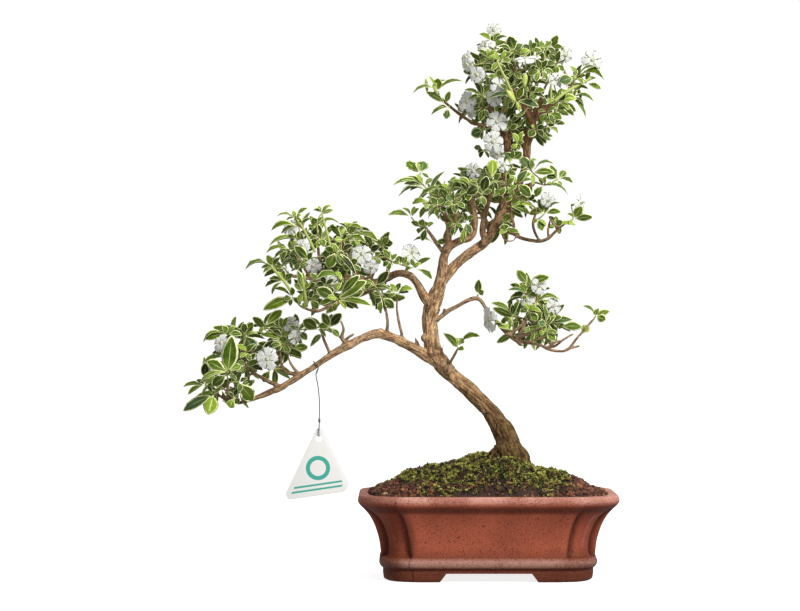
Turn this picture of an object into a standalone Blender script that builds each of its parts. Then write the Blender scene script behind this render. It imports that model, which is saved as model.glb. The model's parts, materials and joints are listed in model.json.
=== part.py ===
"""Serissa bonsai in a rectangular clay pot: trunk, leaf sprays, flowers, moss, soil and a hanging label.

Metres, +Z up. The origin lies on the ground under the middle of the whole tree, and +X is to the
right of the front face of the pot.
"""
import math
import random

import bmesh
import bpy
from mathutils import Vector
from mathutils.bvhtree import BVHTree

MM = 0.001
GAP = 0.3 * MM                       # left between neighbours that touch

# ---------------------------------------------------------------- driving dimensions
POT_X = 69.8 * MM                    # middle of the pot, right of the middle of the tree
RIM_HALF_LENGTH = 103.0 * MM
RIM_HALF_DEPTH = 66.0 * MM
BODY_HALF_LENGTH = 85.4 * MM
BODY_HALF_DEPTH = 48.4 * MM
RIM_Z = 68.0 * MM
FLOOR_TOP_Z = 15.0 * MM
FOOT_HEIGHT = 7.0 * MM
FOOT_WIDTH = 11.0 * MM
WALL = 7.0 * MM
LIP_WIDTH = 8.0 * MM
DRAIN_X = 38.0 * MM
DRAIN_RADIUS = 9.0 * MM

SCREEN_BAR = 2.2 * MM
SCREEN_OPENING = 6.0 * MM
SCREEN_THICKNESS = 1.0 * MM
SCREEN_OPENINGS = 3
WIRE_RADIUS = 0.5 * MM

SOIL_EDGE_Z = 66.0 * MM
MOSS_THICKNESS = 3.0 * MM

TWIG_RADIUS = 0.8 * MM
NODE_LENGTH = 1.5 * MM
LEAF_THICKNESS = 0.8 * MM
LEAF_LENGTH = 18.0 * MM
LEAF_WIDTH = 6.5 * MM
LEAF_TRIALS = 14

FLOWER_TUBE_LENGTH = 8.0 * MM
FLOWER_TUBE_RADIUS = 0.9 * MM
FLOWER_LOBE_LENGTH = 6.0 * MM
FLOWER_LOBE_WIDTH = 5.0 * MM
FLOWER_LOBES = 5

TAG_THICKNESS = 1.0 * MM
TAG_HOLE_RADIUS = 2.4 * MM
THREAD_RADIUS = 0.4 * MM

# The front elevation is drawn on squared paper, one square to 0.8 mm on the plane of the trunk.
# Columns run right and rows run down. It is drawn in perspective from a point EYE_DISTANCE in
# front of the trunk and EYE_HEIGHT above the ground, where column MIDDLE meets row HORIZON.
SQUARE = 0.8 * MM
MIDDLE = 400.0
HORIZON = 305.5
EYE_HEIGHT = 217.0 * MM
EYE_DISTANCE = 2100.0 * MM

# Wood: (column, row, depth in mm behind the trunk plane, radius in mm). A branch starts inside
# the one that carries it.
WOOD = {
    "trunk": (10, [
        (520, 484, 0, 6.0), (517, 472, 0, 11.0), (514, 459, 0, 13.6), (509.5, 446, 0.5, 10.6),
        (504, 432, 1, 8.6), (496, 419, 2, 7.3), (485, 405, 3, 6.5), (472, 393, 3.5, 6.2),
        (458, 381, 3, 5.8), (446, 370, 2, 6.2), (438, 360, 1, 6.7), (433, 348, 0, 6.4),
        (431, 335, -1, 5.6), (430, 320, -1, 5.4), (431.5, 308, -1, 6.0), (435, 298, 0, 5.8),
        (439, 288, 0, 4.8), (441.5, 277, 0, 4.2)]),
    "left_stem": (7, [
        (440.5, 282, 0, 3.6), (442.5, 268, -2, 3.6), (443.5, 258, -4, 3.4), (447, 250, -6, 3.3),
        (453, 244, -7, 3.0), (461, 240, -8, 2.9), (469, 238, -8, 2.8), (474, 230, -9, 2.6),
        (475, 218, -11, 2.4), (473, 206, -13, 2.1), (470, 196, -15, 1.6)]),
    "left_stem_rise": (6, [
        (446, 252, -6, 2.6), (448, 240, -10, 2.6), (449, 230, -13, 2.4), (447, 220, -16, 2.1),
        (442, 210, -18, 1.7), (434, 201, -21, 1.3)]),
    "left_stem_front": (5, [
        (449, 232, -12.5, 2.0), (454, 222, -20, 1.8), (457, 212, -27, 1.4)]),
    "left_stem_twig": (5, [
        (445, 254, -5, 1.6), (437, 244, -8, 1.5), (431, 235, -10, 1.3), (425, 227, -12, 1.1)]),
    "right_stem": (7, [
        (439.5, 287, 0, 3.8), (449, 272, 3, 3.9), (457, 263, 5, 3.8), (466, 255, 6, 3.8),
        (475, 249, 7, 3.8), (484, 243, 8, 3.7), (490, 235, 8, 3.5), (494, 227, 8, 3.3),
        (499, 218, 8, 3.2), (506, 209, 8, 3.1), (513, 201, 8, 3.0), (522, 192, 9, 2.6),
        (531, 184, 10, 2.0)]),
    "middle_stem": (5, [
        (485, 242, 8, 2.4), (483, 231, 3, 2.4), (484, 219, 0, 2.2), (487, 207, -2, 1.9),
        (490, 195, -5, 1.5)]),
    "middle_back": (5, [
        (491, 233, 8, 2.2), (486, 222, 16, 1.9), (479, 210, 24, 1.7), (474, 200, 30, 1.4)]),
    "middle_back_right": (5, [
        (506, 209, 8, 2.0), (513, 207, 17, 1.6), (521, 204, 26, 1.3)]),
    "crown_stem": (7, [
        (508, 206, 8, 2.9), (516, 192, 6, 2.9), (521, 178, 3, 2.9), (525, 166, 0, 2.9),
        (526.5, 155, -1, 3.0), (526.5, 145, -2, 3.3), (529, 136, -2, 3.5), (532, 127, -2, 3.8),
        (531, 118, -2, 3.6), (526, 110, -2, 2.8), (520, 101, -3, 2.0), (515, 92, -4, 1.5)]),
    "crown_right": (6, [
        (532, 121, -2, 3.0), (541, 113, 2, 2.8), (549, 107, 6, 2.4), (557, 101, 9, 2.0),
        (565, 95, 12, 1.5)]),
    "crown_middle": (5, [
        (532, 118, -2, 2.6), (538, 108, -8, 2.1), (541, 98, -13, 1.5)]),
    "crown_back": (5, [
        (529, 113, -2, 2.2), (530, 104, 8, 1.9), (530, 94, 18, 1.4)]),
    "crown_low_right": (5, [
        (541, 113, 2, 1.6), (549, 114, -6, 1.4), (556, 116, -13, 1.1)]),
    "second_stem": (6, [
        (504, 211, 8, 2.5), (503, 196, 12, 2.5), (504, 180, 13, 2.5), (506, 165, 11, 2.5),
        (507, 150, 8, 2.7), (507, 140, 7, 2.9), (504, 131, 7, 2.6), (498, 122, 9, 2.2),
        (492, 113, 10, 1.8), (486, 104, 11, 1.4)]),
    "second_front": (5, [
        (506, 136, 7, 1.9), (504, 126, -4, 1.7), (502, 117, -16, 1.3)]),
    "crown_left_twig": (5, [
        (505, 134, 7, 1.6), (495, 130, 6, 1.5), (486, 126.5, 5, 1.5), (475, 123.5, 4, 1.4),
        (466, 118.5, 3, 1.3), (457, 112, 2, 1.2), (448, 105, 2, 1.1), (441, 98, 2, 1.0)]),
    "curling_branch": (5, [
        (494, 226, 8, 1.8), (503, 228, 3, 1.6), (512, 233, -1, 1.5), (521, 238, -4, 1.5),
        (531, 240.5, -6, 1.4), (541, 241, -8, 1.3), (549, 238, -10, 1.2), (555, 232, -12, 1.1),
        (562, 226, -14, 1.0)]),
    "curling_upright": (5, [
        (540, 241, -8, 1.1), (535, 233, -13, 1.0), (533, 223, -17, 1.0), (536, 213, -20, 0.9)]),
    "left_branch": (7, [
        (440, 365, 1, 4.6), (428, 357, -1, 4.4), (418, 350.5, -2, 4.0), (406, 343.5, -3, 3.8),
        (395, 338.5, -4, 3.6), (385, 335, -5, 3.8), (376, 333.5, -6, 3.5), (366, 337, -7, 3.1),
        (357, 341, -8, 3.0), (348, 345, -9, 3.1), (338, 350.5, -10, 2.8), (330, 355.5, -11, 2.8),
        (320, 362, -12, 2.4), (310, 369, -13, 2.3), (300, 375.5, -14, 2.4), (290, 382, -15, 2.3),
        (281, 387.5, -16, 2.4), (270, 392, -17, 2.1), (258, 397, -18, 1.9), (247, 401, -19, 1.6),
        (238, 402.5, -20, 1.5), (231, 400, -21, 1.4)]),
    "left_branch_end": (5, [
        (235, 402, -20, 1.2), (228, 394, -22, 1.1), (228, 384, -24, 1.0)]),
    "left_branch_far": (5, [
        (235, 402, -20, 1.2), (224, 398, -17, 1.1), (215, 393, -15, 0.9)]),
    "left_fork": (5, [
        (281, 387, -16, 1.6), (270, 382, -14, 1.5), (261, 377, -12, 1.4), (252, 372, -10, 1.3),
        (244, 362, -9, 1.2), (243, 351, -8, 1.0)]),
    "left_upper_twig": (5, [
        (304, 373.5, -13.5, 1.5), (292, 373.5, -12, 1.5), (284, 370, -11, 1.3),
        (281, 360, -10, 1.1), (281, 350, -9, 0.9)]),
    "left_inner_twig": (5, [
        (331, 355, -11, 1.2), (326, 345, -14, 1.1), (323, 337, -16, 1.0), (321, 330, -18, 0.9)]),
    "left_curly_stub": (5, [
        (349, 345, -9, 1.8), (342, 338.5, -11, 1.5), (343.5, 329, -11, 0.9), (341, 321, -11, 0.8)]),
    "left_upright_near": (5, [
        (404, 342, -3, 1.1), (399.5, 325, -2, 1.0), (397, 310, -2, 0.9), (397, 297, -2, 0.8)]),
    "left_upright_far": (5, [
        (387, 335, -5, 1.4), (387.5, 322, -7, 1.1), (386, 311, -8, 0.9), (384, 303, -9, 0.8)]),
    "upper_left": (7, [
        (436, 306, -1, 3.4), (427, 301, -1, 3.6), (422, 292, 0, 3.3), (417, 283, 1, 3.0),
        (411, 276, 2, 2.9), (403, 273, 4, 2.8), (394, 274.5, 5, 2.8), (386, 279, 6, 2.6),
        (377, 282, 7, 2.5), (367, 281, 8, 2.3), (357, 278, 9, 2.2), (346, 279, 10, 2.0),
        (335, 282, 10, 1.9), (323, 282, 9, 1.8), (312, 279, 8, 1.6), (301, 277, 6, 1.4),
        (291, 276, 4, 1.1)]),
    "upper_left_lower": (5, [
        (379, 282, 7, 1.9), (368, 291, 1, 1.7), (355, 297, -3, 1.5), (342, 301, -7, 1.4),
        (330, 306, -10, 1.3), (318, 311, -12, 1.2), (306, 309, -14, 1.0)]),
    "upper_left_front": (5, [
        (356, 297, -3, 1.4), (350, 292, -14, 1.3), (345, 285, -24, 1.1)]),
    "upper_left_rise": (5, [
        (325, 282, 9, 1.6), (322, 269, 11, 1.5), (319, 256, 12, 1.4), (318, 245, 13, 1.1)]),
    "upper_left_rise_near": (5, [
        (358, 278, 9, 1.7), (353, 266, 6, 1.5), (347, 256, 3, 1.3), (343, 246, 0, 1.1)]),
    "upper_left_back": (5, [
        (337, 281.5, 10, 1.7), (332, 273, 22, 1.5), (330, 265, 32, 1.2)]),
    "upper_left_outer": (5, [
        (312, 279, 8, 1.4), (303, 266, 4, 1.3), (297, 254, 0, 1.2), (294, 244, -3, 1.0)]),
    "upper_left_inner": (5, [
        (387, 278.5, 6, 1.5), (388, 268, 3, 1.3), (387, 259, 0, 1.1)]),
    "upper_left_inner_back": (5, [
        (369, 281, 8, 1.5), (374, 271, 17, 1.3), (378, 263, 25, 1.1)]),
    "right_branch": (5, [
        (433, 323, -1, 1.8), (441, 317, -3, 1.7), (447.5, 311.5, -4, 1.6), (456, 307, -5, 1.6),
        (466, 301.5, -6, 1.6), (474, 298.5, -7, 1.7), (480, 300, -8, 1.4), (485, 307, -9, 1.4),
        (490, 313.5, -10, 1.3), (496, 321, -12, 1.3), (502, 328.5, -14, 1.4), (509, 335, -15, 1.5),
        (517, 341, -16, 1.3), (528, 343, -17, 1.1), (540, 345, -18, 1.1), (548, 349, -19, 1.2),
        (557, 351, -20, 1.0), (568, 349.5, -20, 1.0), (577, 338, -19, 0.9), (585, 329, -18, 0.8),
        (593, 320, -17, 0.8)]),
    "right_fork_upper": (5, [
        (509, 335.5, -15, 1.2), (518, 328, -11, 1.1), (526, 319, -8, 1.0), (527, 311, -7, 0.9)]),
    "right_fork_middle": (5, [
        (516, 340, -16, 1.2), (525, 335, -22, 1.1), (535, 331.5, -26, 1.0), (544, 327, -29, 0.9)]),
    "right_dead_twig": (5, [
        (545, 348, -18.5, 1.0), (555, 346, -14, 0.9), (563, 340, -11, 0.8), (573, 334, -8, 0.8)]),
    "trunk_shoot": (5, [
        (447, 367, -1, 1.3), (451, 361, -7, 1.1), (455, 354, -9, 0.9), (457.5, 349, -10, 0.8)]),
}

# Sprays: (branch that ends in it, tip column, tip row, tip depth in mm, pairs of leaves, ending)
SPRAYS = [
    ("spray_crown_left", "crown_stem", 500, 40, -12, 5, "leaf"),
    ("spray_crown_middle", "crown_middle", 534, 42, -24, 5, "leaf"),
    ("spray_crown_right", "crown_right", 588, 72, 16, 4, "flower"),
    ("spray_crown_back", "crown_back", 548, 42, 34, 5, "leaf"),
    ("spray_crown_second", "second_stem", 480, 50, 18, 5, "flower"),
    ("spray_crown_front", "second_front", 494, 88, -36, 4, "flower"),
    ("spray_crown_low_right", "crown_low_right", 562, 124, -26, 2, "leaf"),
    ("spray_crown_twig", "crown_left_twig", 426, 86, 2, 3, "bud"),
    ("spray_middle_left", "left_stem_rise", 414, 176, -28, 5, "leaf"),
    ("spray_middle_front", "left_stem_front", 456, 184, -44, 5, "leaf"),
    ("spray_middle_upper", "left_stem", 474, 172, -20, 4, "flower"),
    ("spray_middle_centre", "middle_stem", 497, 166, -20, 4, "flower"),
    ("spray_middle_right", "right_stem", 556, 176, 10, 4, "leaf"),
    ("spray_middle_back", "middle_back", 460, 182, 42, 4, "leaf"),
    ("spray_middle_back_right", "middle_back_right", 536, 192, 42, 4, "leaf"),
    ("spray_middle_twig", "left_stem_twig", 402, 210, -16, 3, "leaf"),
    ("spray_curling_end", "curling_branch", 578, 216, -14, 3, "leaf"),
    ("spray_upper_end", "upper_left", 266, 262, 2, 4, "leaf"),
    ("spray_upper_lower", "upper_left_lower", 282, 296, -20, 4, "leaf"),
    ("spray_upper_front", "upper_left_front", 330, 272, -40, 4, "leaf"),
    ("spray_upper_rise", "upper_left_rise", 320, 214, 12, 4, "leaf"),
    ("spray_upper_rise_near", "upper_left_rise_near", 356, 229, -14, 3, "leaf"),
    ("spray_upper_back", "upper_left_back", 318, 244, 46, 4, "leaf"),
    ("spray_upper_outer", "upper_left_outer", 290, 220, -10, 4, "flower"),
    ("spray_upper_inner", "upper_left_inner", 402, 243, -14, 2, "flower"),
    ("spray_upper_inner_back", "upper_left_inner_back", 376, 242, 36, 3, "leaf"),
    ("spray_upright_near", "left_upright_near", 400, 282, -4, 2, "leaf"),
    ("spray_lower_end", "left_branch_end", 222, 350, -34, 5, "flower"),
    ("spray_lower_far", "left_branch_far", 195, 388, -18, 4, "leaf"),
    ("spray_lower_fork", "left_fork", 242, 328, -2, 4, "leaf"),
    ("spray_lower_upper", "left_upper_twig", 286, 326, -6, 3, "flower"),
    ("spray_lower_inner", "left_inner_twig", 322, 316, -24, 3, "leaf"),
    ("spray_right_upper", "right_fork_upper", 532, 286, -8, 4, "flower"),
    ("spray_right_middle", "right_fork_middle", 552, 314, -34, 3, "leaf"),
    ("spray_right_tip", "right_branch", 599, 312, -16, 2, "leaf"),
    ("spray_trunk_shoot", "trunk_shoot", 460, 338, -12, 2, "leaf"),
]
SEED = 11

# Soil mound: height of its crest along X, both in mm
CREST = [(-30, 67), (-12, 76), (4, 84.5), (24, 88), (38, 90), (48, 93), (58, 97), (66, 99.5),
         (76, 101), (90, 101), (100, 96), (108, 90), (116, 86), (132, 82), (144, 77), (158, 71),
         (170, 67)]

# Moss: name, middle X, middle Y, half length, half depth, in mm
MOSS = [
    ("moss_left", 34, 0, 36, 41),
    ("moss_right", 131, 2, 21, 36),
    ("moss_front", 91, -32, 25, 12),
]

# Label: corners of the plate and its hole on the squared paper, and where the thread runs
TAG_DEPTH = -12.4
TAG_CORNERS = [(285.3, 493.5), (288.5, 500.0), (345.0, 491.8), (349.5, 484.0), (322.5, 427.5),
               (316.5, 428.5)]
TAG_HOLE = (319.0, 438.8)
THREAD_ON_BRANCH = (316.0, 364.8, -12.4)
BRANCH_RADIUS_AT_THREAD = 2.45
THREAD_KNOT = (319.3, 420.5)

COLOURS = {
    "clay": ((0.30, 0.085, 0.055), 0.55, 0.0),
    "bark": ((0.36, 0.22, 0.11), 0.85, 0.0),
    "leaf": ((0.10, 0.19, 0.04), 0.5, 0.0),
    "petal": ((0.90, 0.90, 0.84), 0.6, 0.0),
    "bud": ((0.52, 0.56, 0.14), 0.5, 0.0),
    "soil": ((0.10, 0.05, 0.03), 0.95, 0.0),
    "moss": ((0.13, 0.17, 0.02), 0.95, 0.0),
    "screen_plastic": ((0.02, 0.06, 0.03), 0.5, 0.0),
    "wire_metal": ((0.45, 0.45, 0.46), 0.4, 1.0),
    "tag_plastic": ((0.80, 0.78, 0.74), 0.4, 0.0),
    "thread": ((0.08, 0.08, 0.08), 0.7, 0.0),
}


# ---------------------------------------------------------------- helpers
def place(column, row, depth):
    """A point of the elevation drawing, depth in mm, as a place in the model."""
    spread = SQUARE * (EYE_DISTANCE + depth * MM) / EYE_DISTANCE
    return Vector(((column - MIDDLE) * spread, depth * MM, EYE_HEIGHT + (HORIZON - row) * spread))


def material(name):
    found = bpy.data.materials.get(name)
    if found:
        return found
    colour, roughness, metallic = COLOURS[name]
    made = bpy.data.materials.new(name)
    made.use_nodes = True
    shader = made.node_tree.nodes["Principled BSDF"]
    shader.inputs["Base Color"].default_value = (*colour, 1.0)
    shader.inputs["Roughness"].default_value = roughness
    shader.inputs["Metallic"].default_value = metallic
    made.diffuse_color = (*colour, 1.0)
    return made


def finish_object(name, bm, material_name, smooth_angle=None):
    """Makes the object of a closed bmesh, with its faces pointing out."""
    bmesh.ops.recalc_face_normals(bm, faces=bm.faces)
    mesh = bpy.data.meshes.new(name)
    bm.to_mesh(mesh)
    bm.free()
    if smooth_angle:
        mesh.shade_smooth()
        mesh.set_sharp_from_angle(angle=math.radians(smooth_angle))
    made = bpy.data.objects.new(name, mesh)
    made.data.materials.append(material(material_name))
    bpy.context.scene.collection.objects.link(made)
    return made


def frames(points):
    """Two unit vectors across a route at each of its points, carried along it without a twist."""
    ahead = []
    last = len(points) - 1
    for i in range(last + 1):
        way = points[min(i + 1, last)] - points[max(i - 1, 0)]
        ahead.append(way.normalized())
    side = ahead[0].orthogonal().normalized()
    found = []
    for i, way in enumerate(ahead):
        if i:
            turn = ahead[i - 1].rotation_difference(way)
            side = turn @ side
        side = (side - way * side.dot(way)).normalized()
        found.append((side, way.cross(side)))
    return found


def join_rings(bm, lower, upper, skipped=()):
    count = len(lower)
    for k in range(count):
        if k not in skipped:
            after = (k + 1) % count
            bm.faces.new((lower[k], lower[after], upper[after], upper[k]))


def tube(points, radii, sides):
    """A closed round bar through the points, one radius to each."""
    bm = bmesh.new()
    rings = []
    for point, radius, (side, across) in zip(points, radii, frames(points)):
        ring = []
        for k in range(sides):
            angle = 2 * math.pi * k / sides
            ring.append(bm.verts.new(point + (side * math.cos(angle) + across * math.sin(angle)) * radius))
        rings.append(ring)
    for lower, upper in zip(rings, rings[1:]):
        join_rings(bm, lower, upper)
    bm.faces.new(reversed(rings[0]))
    bm.faces.new(rings[-1])
    return bm


def combine(target, cutter, operation):
    """Joins or cuts target with cutter, which is removed."""
    boolean = target.modifiers.new("combine", "BOOLEAN")
    boolean.operation = operation
    boolean.solver = "EXACT"
    boolean.object = cutter
    evaluated = target.evaluated_get(bpy.context.evaluated_depsgraph_get())
    mesh = bpy.data.meshes.new_from_object(evaluated)
    target.modifiers.clear()
    target.data = mesh
    bpy.data.objects.remove(cutter)


def wood_route(name):
    points = [place(column, row, depth) for column, row, depth, _ in WOOD[name][1]]
    radii = [radius * MM for _, _, _, radius in WOOD[name][1]]
    return points, radii


# ---------------------------------------------------------------- pot
def pot_outline(half_length, half_depth, corner, notch):
    """Rectangle whose corners are round lobes between two creases, seen from above."""
    lobe = corner - notch
    quarter = []
    for k in range(3):
        angle = math.pi / 2 * k / 3
        quarter.append((half_length - notch + notch * math.cos(angle),
                        half_depth - corner - notch + notch * math.sin(angle)))
    for k in range(5):
        angle = math.pi / 2 * k / 4
        quarter.append((half_length - corner + lobe * math.cos(angle),
                        half_depth - corner + lobe * math.sin(angle)))
    for k in range(1, 4):
        angle = math.pi / 2 * k / 3
        quarter.append((half_length - corner - notch + notch * math.sin(math.pi / 2 - angle),
                        half_depth - notch + notch * math.cos(math.pi / 2 - angle)))
    outline = list(quarter)
    outline += [(-x, y) for x, y in reversed(quarter)]
    outline += [(-x, -y) for x, y in quarter]
    outline += [(x, -y) for x, y in reversed(quarter)]
    return outline


def pot_ring(spread, inset=0.0, notch=0.8):
    """Outline at a given flare, from 0 at the body to 1 at the rim, less an inset all round."""
    flare = spread * (RIM_HALF_LENGTH - BODY_HALF_LENGTH)
    half_length = BODY_HALF_LENGTH + flare - inset
    half_depth = BODY_HALF_DEPTH + flare - inset
    corner = (23.5 + 6.0 * spread) * MM
    return pot_outline(half_length, half_depth, corner, notch * MM)


# The creases beside the corner lobes are cut into the body alone: the lip, the lower band and the
# foot run round each corner unbroken.
POT_OUTSIDE = [  # height in mm, flare, inset in mm, depth of the creases in mm
    (0, 0, 5.0, 0.8), (1.2, 0, 2.8, 0.8), (7.5, 0, 2.0, 0.8), (9.5, 0, 2.4, 0.8),
    (11.5, 0, 0.2, 0.8), (15.3, 0, -1.2, 0.8), (18.6, 0, 0.2, 1.4), (20.6, 0, 0.5, 6.0),
    (32, 0.05, 0.0, 7.4), (44, 0.26, 0.0, 7.4), (51.5, 0.49, 0.0, 6.6), (56.5, 0.71, 0.0, 4.0),
    (59.8, 0.89, 0.0, 1.6), (62.8, 1.0, 0.0, 0.8), (66.2, 0.99, 0.0, 0.8), (68.0, 0.92, 0.0, 0.8)]
POT_INSIDE = [
    (68.0, 1.0, 8.0, 0.8), (66.4, 1.0, 9.2, 0.8), (58.6, 0.85, 9.2, 2.4), (46, 0.35, 7.5, 7.0),
    (28, 0.05, 7.0, 7.0), (17, 0.0, 7.5, 1.2), (15, 0.0, 9.5, 0.8)]


def add_rings(bm, table):
    rings = []
    for height, spread, inset, notch in table:
        outline = pot_ring(spread, inset * MM, notch)
        rings.append([bm.verts.new((POT_X + x, y, height * MM)) for x, y in outline])
    for lower, upper in zip(rings, rings[1:]):
        join_rings(bm, lower, upper)
    return rings


def block(name, corners, low, high):
    """A prism on the plan corners, between two heights."""
    bm = bmesh.new()
    lower = [bm.verts.new((x, y, low)) for x, y in corners]
    upper = [bm.verts.new((x, y, high)) for x, y in corners]
    join_rings(bm, lower, upper)
    bm.faces.new(reversed(lower))
    bm.faces.new(upper)
    return finish_object(name, bm, "clay")


def wedge(name, along, across, low_half, high_half, top):
    """A bar with sloping ends along one axis, for the gap between two feet."""
    bm = bmesh.new()
    rings = []
    for shift in (-across, across):
        profile = [(-low_half, -1 * MM), (low_half, -1 * MM), (high_half, top), (-high_half, top)]
        if along == "x":
            ring = [bm.verts.new((POT_X + u, shift, z)) for u, z in profile]
        else:
            ring = [bm.verts.new((POT_X + shift, u, z)) for u, z in profile]
        rings.append(ring)
    join_rings(bm, rings[0], rings[1])
    bm.faces.new(reversed(rings[0]))
    bm.faces.new(rings[1])
    return finish_object(name, bm, "clay")


def make_pot():
    bm = bmesh.new()
    rings = add_rings(bm, POT_OUTSIDE + POT_INSIDE)
    bm.faces.new(reversed(rings[0]))
    bm.faces.new(rings[-1])
    pot = finish_object("pot", bm, "clay")
    under_length = BODY_HALF_LENGTH - FOOT_WIDTH
    under_depth = BODY_HALF_DEPTH - FOOT_WIDTH
    recess = pot_outline(under_length, under_depth, 24 * MM, 8 * MM)
    combine(pot, block("recess", [(POT_X + x, y) for x, y in recess], -1 * MM, FOOT_HEIGHT),
            "DIFFERENCE")
    combine(pot, wedge("front_gap", "x", 80 * MM, 39.5 * MM, 33.5 * MM, FOOT_HEIGHT), "DIFFERENCE")
    combine(pot, wedge("side_gap", "y", 120 * MM, 19.5 * MM, 13.5 * MM, FOOT_HEIGHT), "DIFFERENCE")
    for side in (-1, 1):
        ends = [Vector((POT_X + side * DRAIN_X, 0, height * MM)) for height in (4, 19)]
        hole = tube(ends, [DRAIN_RADIUS] * 2, 16)
        combine(pot, finish_object("drain", hole, "clay"), "DIFFERENCE")
    pot.data.shade_smooth()
    pot.data.set_sharp_from_angle(angle=math.radians(35))
    return pot


# ---------------------------------------------------------------- drain screens and their wires
def make_screen(name, middle_x):
    """Square lattice of bars over a drain hole."""
    edges = [0.0]
    for k in range(2 * SCREEN_OPENINGS + 1):
        edges.append(edges[-1] + (SCREEN_OPENING if k % 2 else SCREEN_BAR))
    half = edges[-1] / 2
    cells = len(edges) - 1
    low = FLOOR_TOP_Z + GAP
    bm = bmesh.new()
    corners = {}
    for i, x in enumerate(edges):
        for j, y in enumerate(edges):
            for level, z in enumerate((low, low + SCREEN_THICKNESS)):
                corners[i, j, level] = bm.verts.new((middle_x + x - half, y - half, z))

    def solid(i, j):
        return 0 <= i < cells and 0 <= j < cells and not (i % 2 and j % 2)

    for i in range(cells):
        for j in range(cells):
            if not solid(i, j):
                continue
            around = [(i, j), (i + 1, j), (i + 1, j + 1), (i, j + 1)]
            bm.faces.new([corners[a, b, 1] for a, b in around])
            bm.faces.new([corners[a, b, 0] for a, b in reversed(around)])
            beyond = [(i, j - 1), (i + 1, j), (i, j + 1), (i - 1, j)]
            for k, cell in enumerate(beyond):
                if not solid(*cell):
                    first = around[k]
                    second = around[(k + 1) % 4]
                    bm.faces.new((corners[(*first, 0)], corners[(*second, 0)],
                                  corners[(*second, 1)], corners[(*first, 1)]))
    return finish_object(name, bm, "screen_plastic")


def make_wire(name, route, radius, material_name):
    """A round bar along a route of points, as a curve with filled ends."""
    curve = bpy.data.curves.new(name, "CURVE")
    curve.dimensions = "3D"
    spline = curve.splines.new("POLY")
    spline.points.add(len(route) - 1)
    for point, target in zip(spline.points, route):
        point.co = (*target, 1.0)
    curve.bevel_depth = radius
    curve.bevel_resolution = 2
    curve.use_fill_caps = True
    curve.materials.append(material(material_name))
    made = bpy.data.objects.new(name, curve)
    bpy.context.scene.collection.objects.link(made)
    return made


def staple_route(middle_x):
    """Over the screen, down through the hole, and out under the floor on both sides."""
    half = (SCREEN_OPENING + SCREEN_BAR) * 0.72
    over = FLOOR_TOP_Z + GAP + SCREEN_THICKNESS + GAP + WIRE_RADIUS
    under = FOOT_HEIGHT - GAP - WIRE_RADIUS
    bend = 1.0 * MM
    reach = DRAIN_RADIUS + 4 * MM
    right = [(half - bend, over), (half - 0.3 * bend, over - 0.3 * bend), (half, over - bend),
             (half, under + bend), (half + 0.3 * bend, under + 0.3 * bend), (half + bend, under),
             (reach, under)]
    left = [(-x, z) for x, z in reversed(right)]
    return [Vector((middle_x + x, 0, z)) for x, z in left + right]


# ---------------------------------------------------------------- soil and moss
def crest_height(x):
    for (x0, z0), (x1, z1) in zip(CREST, CREST[1:]):
        if x <= x1 * MM:
            share = max(0.0, (x - x0 * MM) / ((x1 - x0) * MM))
            return (z0 + (z1 - z0) * share) * MM
    return CREST[-1][1] * MM


def mound_height(x, y):
    """Height of the top of the moss and soil."""
    across = min(1.0, abs(y) / (RIM_HALF_DEPTH - LIP_WIDTH))
    return SOIL_EDGE_Z + (crest_height(x) - SOIL_EDGE_Z) * (1 - across ** 2.2)


def soil_height(x, y):
    """The mound less the moss that lies on it, which thins out towards the rim."""
    along = abs(x - POT_X) / (RIM_HALF_LENGTH - LIP_WIDTH)
    across = abs(y) / (RIM_HALF_DEPTH - LIP_WIDTH)
    edge = min(1.0, max(along, across))
    return mound_height(x, y) - MOSS_THICKNESS * (1 - edge ** 6)


def make_soil(trunk_points, trunk_radii):
    bm = bmesh.new()
    rings = []
    sides = [(17.5, 0.0, 8.2, 1.4), (28, 0.05, 7.6, 7.0), (46, 0.35, 8.1, 7.0), (58.6, 0.85, 9.8, 2.4)]
    low = [(15 + GAP / MM, 0.0, 10.2, 0.8)]
    for height, spread, inset, notch in low + sides:
        outline = pot_ring(spread, inset * MM, notch)
        rings.append([bm.verts.new((POT_X + x, y, height * MM)) for x, y in outline])
    edge = pot_ring(1.0, 9.9 * MM)
    for share in (1.0, 0.86, 0.7, 0.52, 0.34, 0.17):
        ring = []
        for x, y in edge:
            place_x = POT_X + x * share
            place_y = y * share
            ring.append(bm.verts.new((place_x, place_y, soil_height(place_x, place_y))))
        rings.append(ring)
    for lower, upper in zip(rings, rings[1:]):
        join_rings(bm, lower, upper)
    bm.faces.new(reversed(rings[0]))
    top = bm.verts.new((POT_X, 0, soil_height(POT_X, 0)))
    inner = rings[-1]
    for k in range(len(inner)):
        bm.faces.new((inner[k], inner[(k + 1) % len(inner)], top))
    soil = finish_object("soil", bm, "soil")
    channel = tube(trunk_points, [radius + 1.5 * GAP for radius in trunk_radii], 12)
    combine(soil, finish_object("channel", channel, "soil"), "DIFFERENCE")
    screen_size = (SCREEN_OPENINGS + 1) * SCREEN_BAR + SCREEN_OPENINGS * SCREEN_OPENING
    half = screen_size / 2 + 2 * GAP
    wire_top = FLOOR_TOP_Z + SCREEN_THICKNESS + 4 * GAP + 2 * WIRE_RADIUS
    for side in (-1, 1):
        middle = POT_X + side * DRAIN_X
        square = [(middle + a * half, b * half) for a, b in ((-1, -1), (1, -1), (1, 1), (-1, 1))]
        combine(soil, block("pocket", square, 10 * MM, wire_top), "DIFFERENCE")
    return soil


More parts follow.
